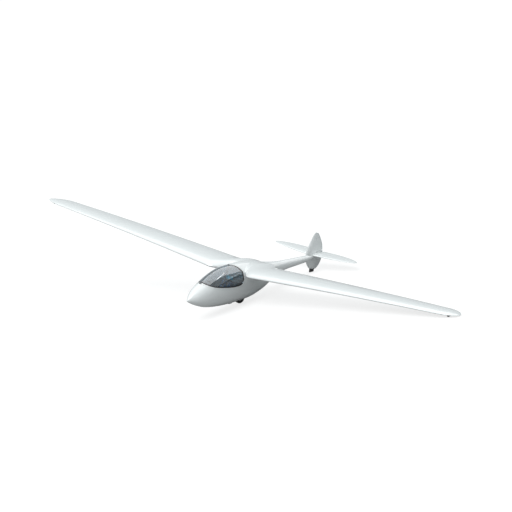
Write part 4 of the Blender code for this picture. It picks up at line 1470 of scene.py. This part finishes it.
@dataclass
class InstrumentBoard:
    """Dials, radio and switches on the panel, with a compass on the glare shield.

    Attributes:
        face: The panel's aft face, as y.
        dials: Its round instruments.
        knobs: Places of the radio's knobs, as x.
        switches: Places of the switches, as x.
    """

    face: float = -0.6738
    dials: tuple[Dial, ...] = (
        Dial(-0.094, -0.195, 0.040, 40, -120.0),
        Dial(0.0, -0.150, 0.040, 20, -90.0),
        Dial(0.094, -0.195, 0.040, 50, 35.0),
        Dial(-0.072, -0.295, 0.0285, 30, 0.0),
        Dial(0.0, -0.262, 0.0285, 20, -90.0),
        Dial(0.072, -0.295, 0.0285, 24, 60.0),
    )
    knobs: tuple[float, ...] = (-0.062, 0.030, 0.056)
    switches: tuple[float, ...] = (-0.15, -0.125, 0.125, 0.15)

    def build(self) -> None:
        """Models every instrument and joins what shares a finish."""
        groups: dict[str, list[bpy.types.Object]] = {}
        for dial in self.dials:
            for finish, parts in dial.parts(self.face).items():
                groups.setdefault(finish, []).extend(parts)
        radio = block("radio", (0.0, self.face + 0.004, -0.365), (0.150, 0.008, 0.046), 0.002)
        window = block("window", (-0.020, self.face + 0.0086, -0.360), (0.062, 0.001, 0.020), 0.0003)
        groups["black"].append(radio)
        groups["dial"].append(window)
        for x in self.knobs:
            foot = Vector((x, self.face, -0.368))
            knob = drum("turn_knob", foot + AFT * 0.008, foot + AFT * 0.019, 0.008, 20, 0.001)
            groups["black"].append(knob)
        for x in self.switches:
            foot = Vector((x, self.face, -0.39))
            tip = foot + Vector((0.0, 0.016, 0.006))
            groups["steel"].append(drum("switch_nut", foot, foot + AFT * 0.003, 0.006, 6))
            groups["steel"].append(drum("switch", foot + AFT * 0.002, tip, 0.0018, 10, end_radius=0.003))
        compass = drum("compass", (0, -0.70, -0.0695), (0, -0.70, -0.040), 0.026, 32, 0.004)
        groups["black"].append(compass)
        groups["mark"].append(ring("compass_ring", (0, -0.70, -0.052), (0, 0, 1), 0.0263, 0.0012, 32))
        for finish, parts in groups.items():
            slot = "steel" if finish == "steel" else "instrument_black"
            deliver(parts, f"instruments_{finish}", finish, "airframe", slot)


@dataclass
class LeverGates:
    """Slotted plates on the consoles that the three levers run in.

    Attributes:
        x: How far from the middle the levers stand.
        top: Height of the consoles.
        places: The side of each lever, 1 for port, and its place along the aircraft.
        size: A plate's width, length and thickness.
        screw: How far a screw lies from the plate's middle, across and along.
    """

    x: float = 0.262
    top: float = -0.425
    places: tuple[tuple[int, float], ...] = ((1, -0.28), (1, -0.48), (-1, -0.36))
    size: Point = (0.034, 0.13, 0.0016)
    screw: tuple[float, float] = (0.012, 0.057)

    def build(self) -> None:
        """Models each plate, with rounded edges, and four screws."""
        plates = []
        screws = []
        for side, y in self.places:
            middle = Vector((side * self.x, y, self.top + self.size[2] / 2))
            plates.append(block("gate", middle, self.size, 0.0006))
            for end in (1, -1):
                for edge in (1, -1):
                    spot = middle + Vector((edge * self.screw[0], end * self.screw[1], 0.0))
                    screws.append(drum("screw", spot, spot + Vector((0, 0, 0.0022)), 0.0028, 12, 0.0005))
        deliver(plates, "lever_gates", "black", "airframe", "instrument_black")
        deliver(screws, "gate_screws", "steel", "airframe", "steel")


# Stage


@dataclass
class Stage:
    """Floor, light and camera.

    Attributes:
        azimuth: The camera's way round the aircraft, in degrees, in the aircraft's frame.
        elevation: Its height over the aircraft's own level.
        roll: Its tilt.
        distance: Its distance from the target.
        focal_px: Its focal length in pixels of a frame 512 wide.
        target: What it looks at.
        floor_glow: White that the camera sees on the floor without any light.
        floor_shade: How strongly light and shadow show on the floor.
        floor_bounce: The floor's shade for the light that it throws back up.
        sky: The surround's colour.
        ambient: The surround's strength.
        mirrored: The surround's strength in reflections.
        backdrop: The surround's strength as the camera sees it.
        key: The key light's strength.
        key_width: How wide the key light is, in degrees.
        key_from: The way that the key light comes from, in the aircraft's frame.
        softboxes: Flat lights overhead that show in polished surfaces only: the place of each
            in the aircraft's frame, its width, length, turn in degrees and radiance.
        softbox_colour: Their colour.
    """

    azimuth: float = 38.42
    elevation: float = 16.19
    roll: float = 3.43
    distance: float = 50.21
    focal_px: float = 1758.08
    target: Point = (0.17, 1.04, 0.36)
    floor_glow: float = 0.76
    floor_shade: float = 0.30
    floor_bounce: float = 0.36
    sky: Colour = (0.91, 0.965, 0.985)
    ambient: float = 0.58
    mirrored: float = 0.62
    backdrop: float = 1.1
    key: float = 2.0
    key_width: float = 40.0
    key_from: Point = (0.0, -1.0, 1.0)
    softboxes: tuple[tuple[Point, float, float, float, float], ...] = (
        ((12.6, 50.8, 20.0), 36.0, 134.0, -18.4, 1.35),
        ((14.2, 12.0, 19.9), 9.5, 2.2, -27.6, 3.2),
    )
    softbox_colour: Colour = (1.0, 0.975, 0.965)

    def camera(self) -> None:
        """Places the camera."""
        turn = math.radians(self.azimuth)
        rise = math.radians(self.elevation)
        tilt = math.radians(self.roll)
        back = Vector((math.sin(turn) * math.cos(rise), -math.cos(turn) * math.cos(rise), math.sin(rise)))
        right = Vector((math.cos(turn), math.sin(turn), 0.0))
        up = right.cross(-back)
        across = right * math.cos(tilt) + up * math.sin(tilt)
        upward = up * math.cos(tilt) - right * math.sin(tilt)
        matrix = Matrix((across, upward, back)).transposed().to_4x4()
        matrix.translation = Vector(self.target) + back * self.distance
        data = bpy.data.cameras.new("camera")
        data.sensor_width = SENSOR
        data.lens = SENSOR * self.focal_px / FRAME_WIDTH
        data.clip_end = 1000.0
        camera = added("camera", data)
        camera.matrix_world = attitude.matrix @ matrix
        bpy.context.scene.camera = camera

    def floor(self) -> None:
        """Lays a wide white floor that throws little light back up and takes a faint shadow."""
        bpy.ops.object.select_all(action="DESELECT")
        bpy.ops.mesh.primitive_plane_add(size=4000.0, location=(0, 0, -0.001))
        ground = named("floor")
        paint = Paint("pale_floor")
        seen = Signal(paint, paint.node("ShaderNodeLightPath").outputs["Is Camera Ray"])
        glow = paint.node("ShaderNodeEmission", {}, {"Strength": self.floor_glow})
        pale = paint.node("ShaderNodeBsdfDiffuse", {}, {"Color": (self.floor_shade,) * 3})
        both = paint.node("ShaderNodeAddShader")
        paint.tree.links.new(glow.outputs[0], both.inputs[0])
        paint.tree.links.new(pale.outputs[0], both.inputs[1])
        dull = paint.node("ShaderNodeBsdfDiffuse", {}, {"Color": (self.floor_bounce,) * 3})
        choice = paint.node("ShaderNodeMixShader", {}, {0: seen})
        paint.tree.links.new(dull.outputs[0], choice.inputs[1])
        paint.tree.links.new(both.outputs[0], choice.inputs[2])
        paint.tree.links.new(choice.outputs[0], paint.output.inputs[0])
        ground.data.materials.append(paint.material)

    def lights(self) -> None:
        """Sets a soft key from above and an even surround that is white behind the aircraft."""
        scene = bpy.context.scene
        scene.view_settings.view_transform = "Standard"
        world = bpy.data.worlds.new("surround")
        world.use_nodes = True
        scene.world = world
        tree = world.node_tree
        background = tree.nodes["Background"]
        background.inputs["Color"].default_value = (*self.sky, 1.0)
        seen = tree.nodes.new("ShaderNodeLightPath")
        strength = None
        for ray, value in (("Is Glossy Ray", self.mirrored), ("Is Camera Ray", self.backdrop)):
            level = tree.nodes.new("ShaderNodeMix")
            level.inputs[2].default_value = self.ambient
            level.inputs[3].default_value = value
            tree.links.new(seen.outputs[ray], level.inputs[0])
            if strength is not None:
                tree.links.new(strength, level.inputs[2])
            strength = level.outputs[0]
        tree.links.new(strength, background.inputs["Strength"])
        data = bpy.data.lights.new("key", "SUN")
        data.energy = self.key
        data.angle = math.radians(self.key_width)
        key = added("key", data)
        towards = attitude.matrix.to_3x3() @ Vector(self.key_from)
        key.rotation_euler = towards.to_track_quat("Z", "Y").to_euler()
        for softbox in self.softboxes:
            self.hang(*softbox)

    def hang(self, where: Point, wide: float, long: float, turn: float, radiance: float) -> None:
        """Hangs a light that only polished surfaces and the cabin behind the glass see.

        Args:
            where: Its place in the aircraft's frame.
            wide: Its width.
            long: Its length.
            turn: Its turn about the aircraft's upright axis, in degrees.
            radiance: How bright its face is.
        """
        data = bpy.data.lights.new("softbox", "AREA")
        data.shape = "RECTANGLE"
        data.size = wide
        data.size_y = long
        data.energy = radiance * math.pi * wide * long
        data.color = self.softbox_colour
        box = added("softbox", data)
        turned = Matrix.Rotation(math.radians(turn), 4, "Z")
        box.matrix_world = attitude.matrix @ Matrix.Translation(where) @ turned
        box.visible_camera = False
        box.visible_diffuse = False

    def build(self) -> None:
        """Sets up the whole stage."""
        self.camera()
        self.floor()
        self.lights()


def main() -> None:
    """Builds every piece in order."""
    logging.basicConfig(level=logging.INFO, format="%(message)s")
    Stage().build()
    Airframe().build()
    Tyre().build()
    HubFittings().build()
    Cushion("seat_cushion", Quilting.CHANNELS, 4).build()
    Cushion("back_cushion", Quilting.CHANNELS, 7).build()
    Cushion("headrest", Quilting.PLAIN, voxel=0.005, shrink=0.005, cap=0.008, finish="cyan").build()
    Harness().build()
    InstrumentBoard().build()
    LeverGates().build()


if __name__ == "__main__":
    main()
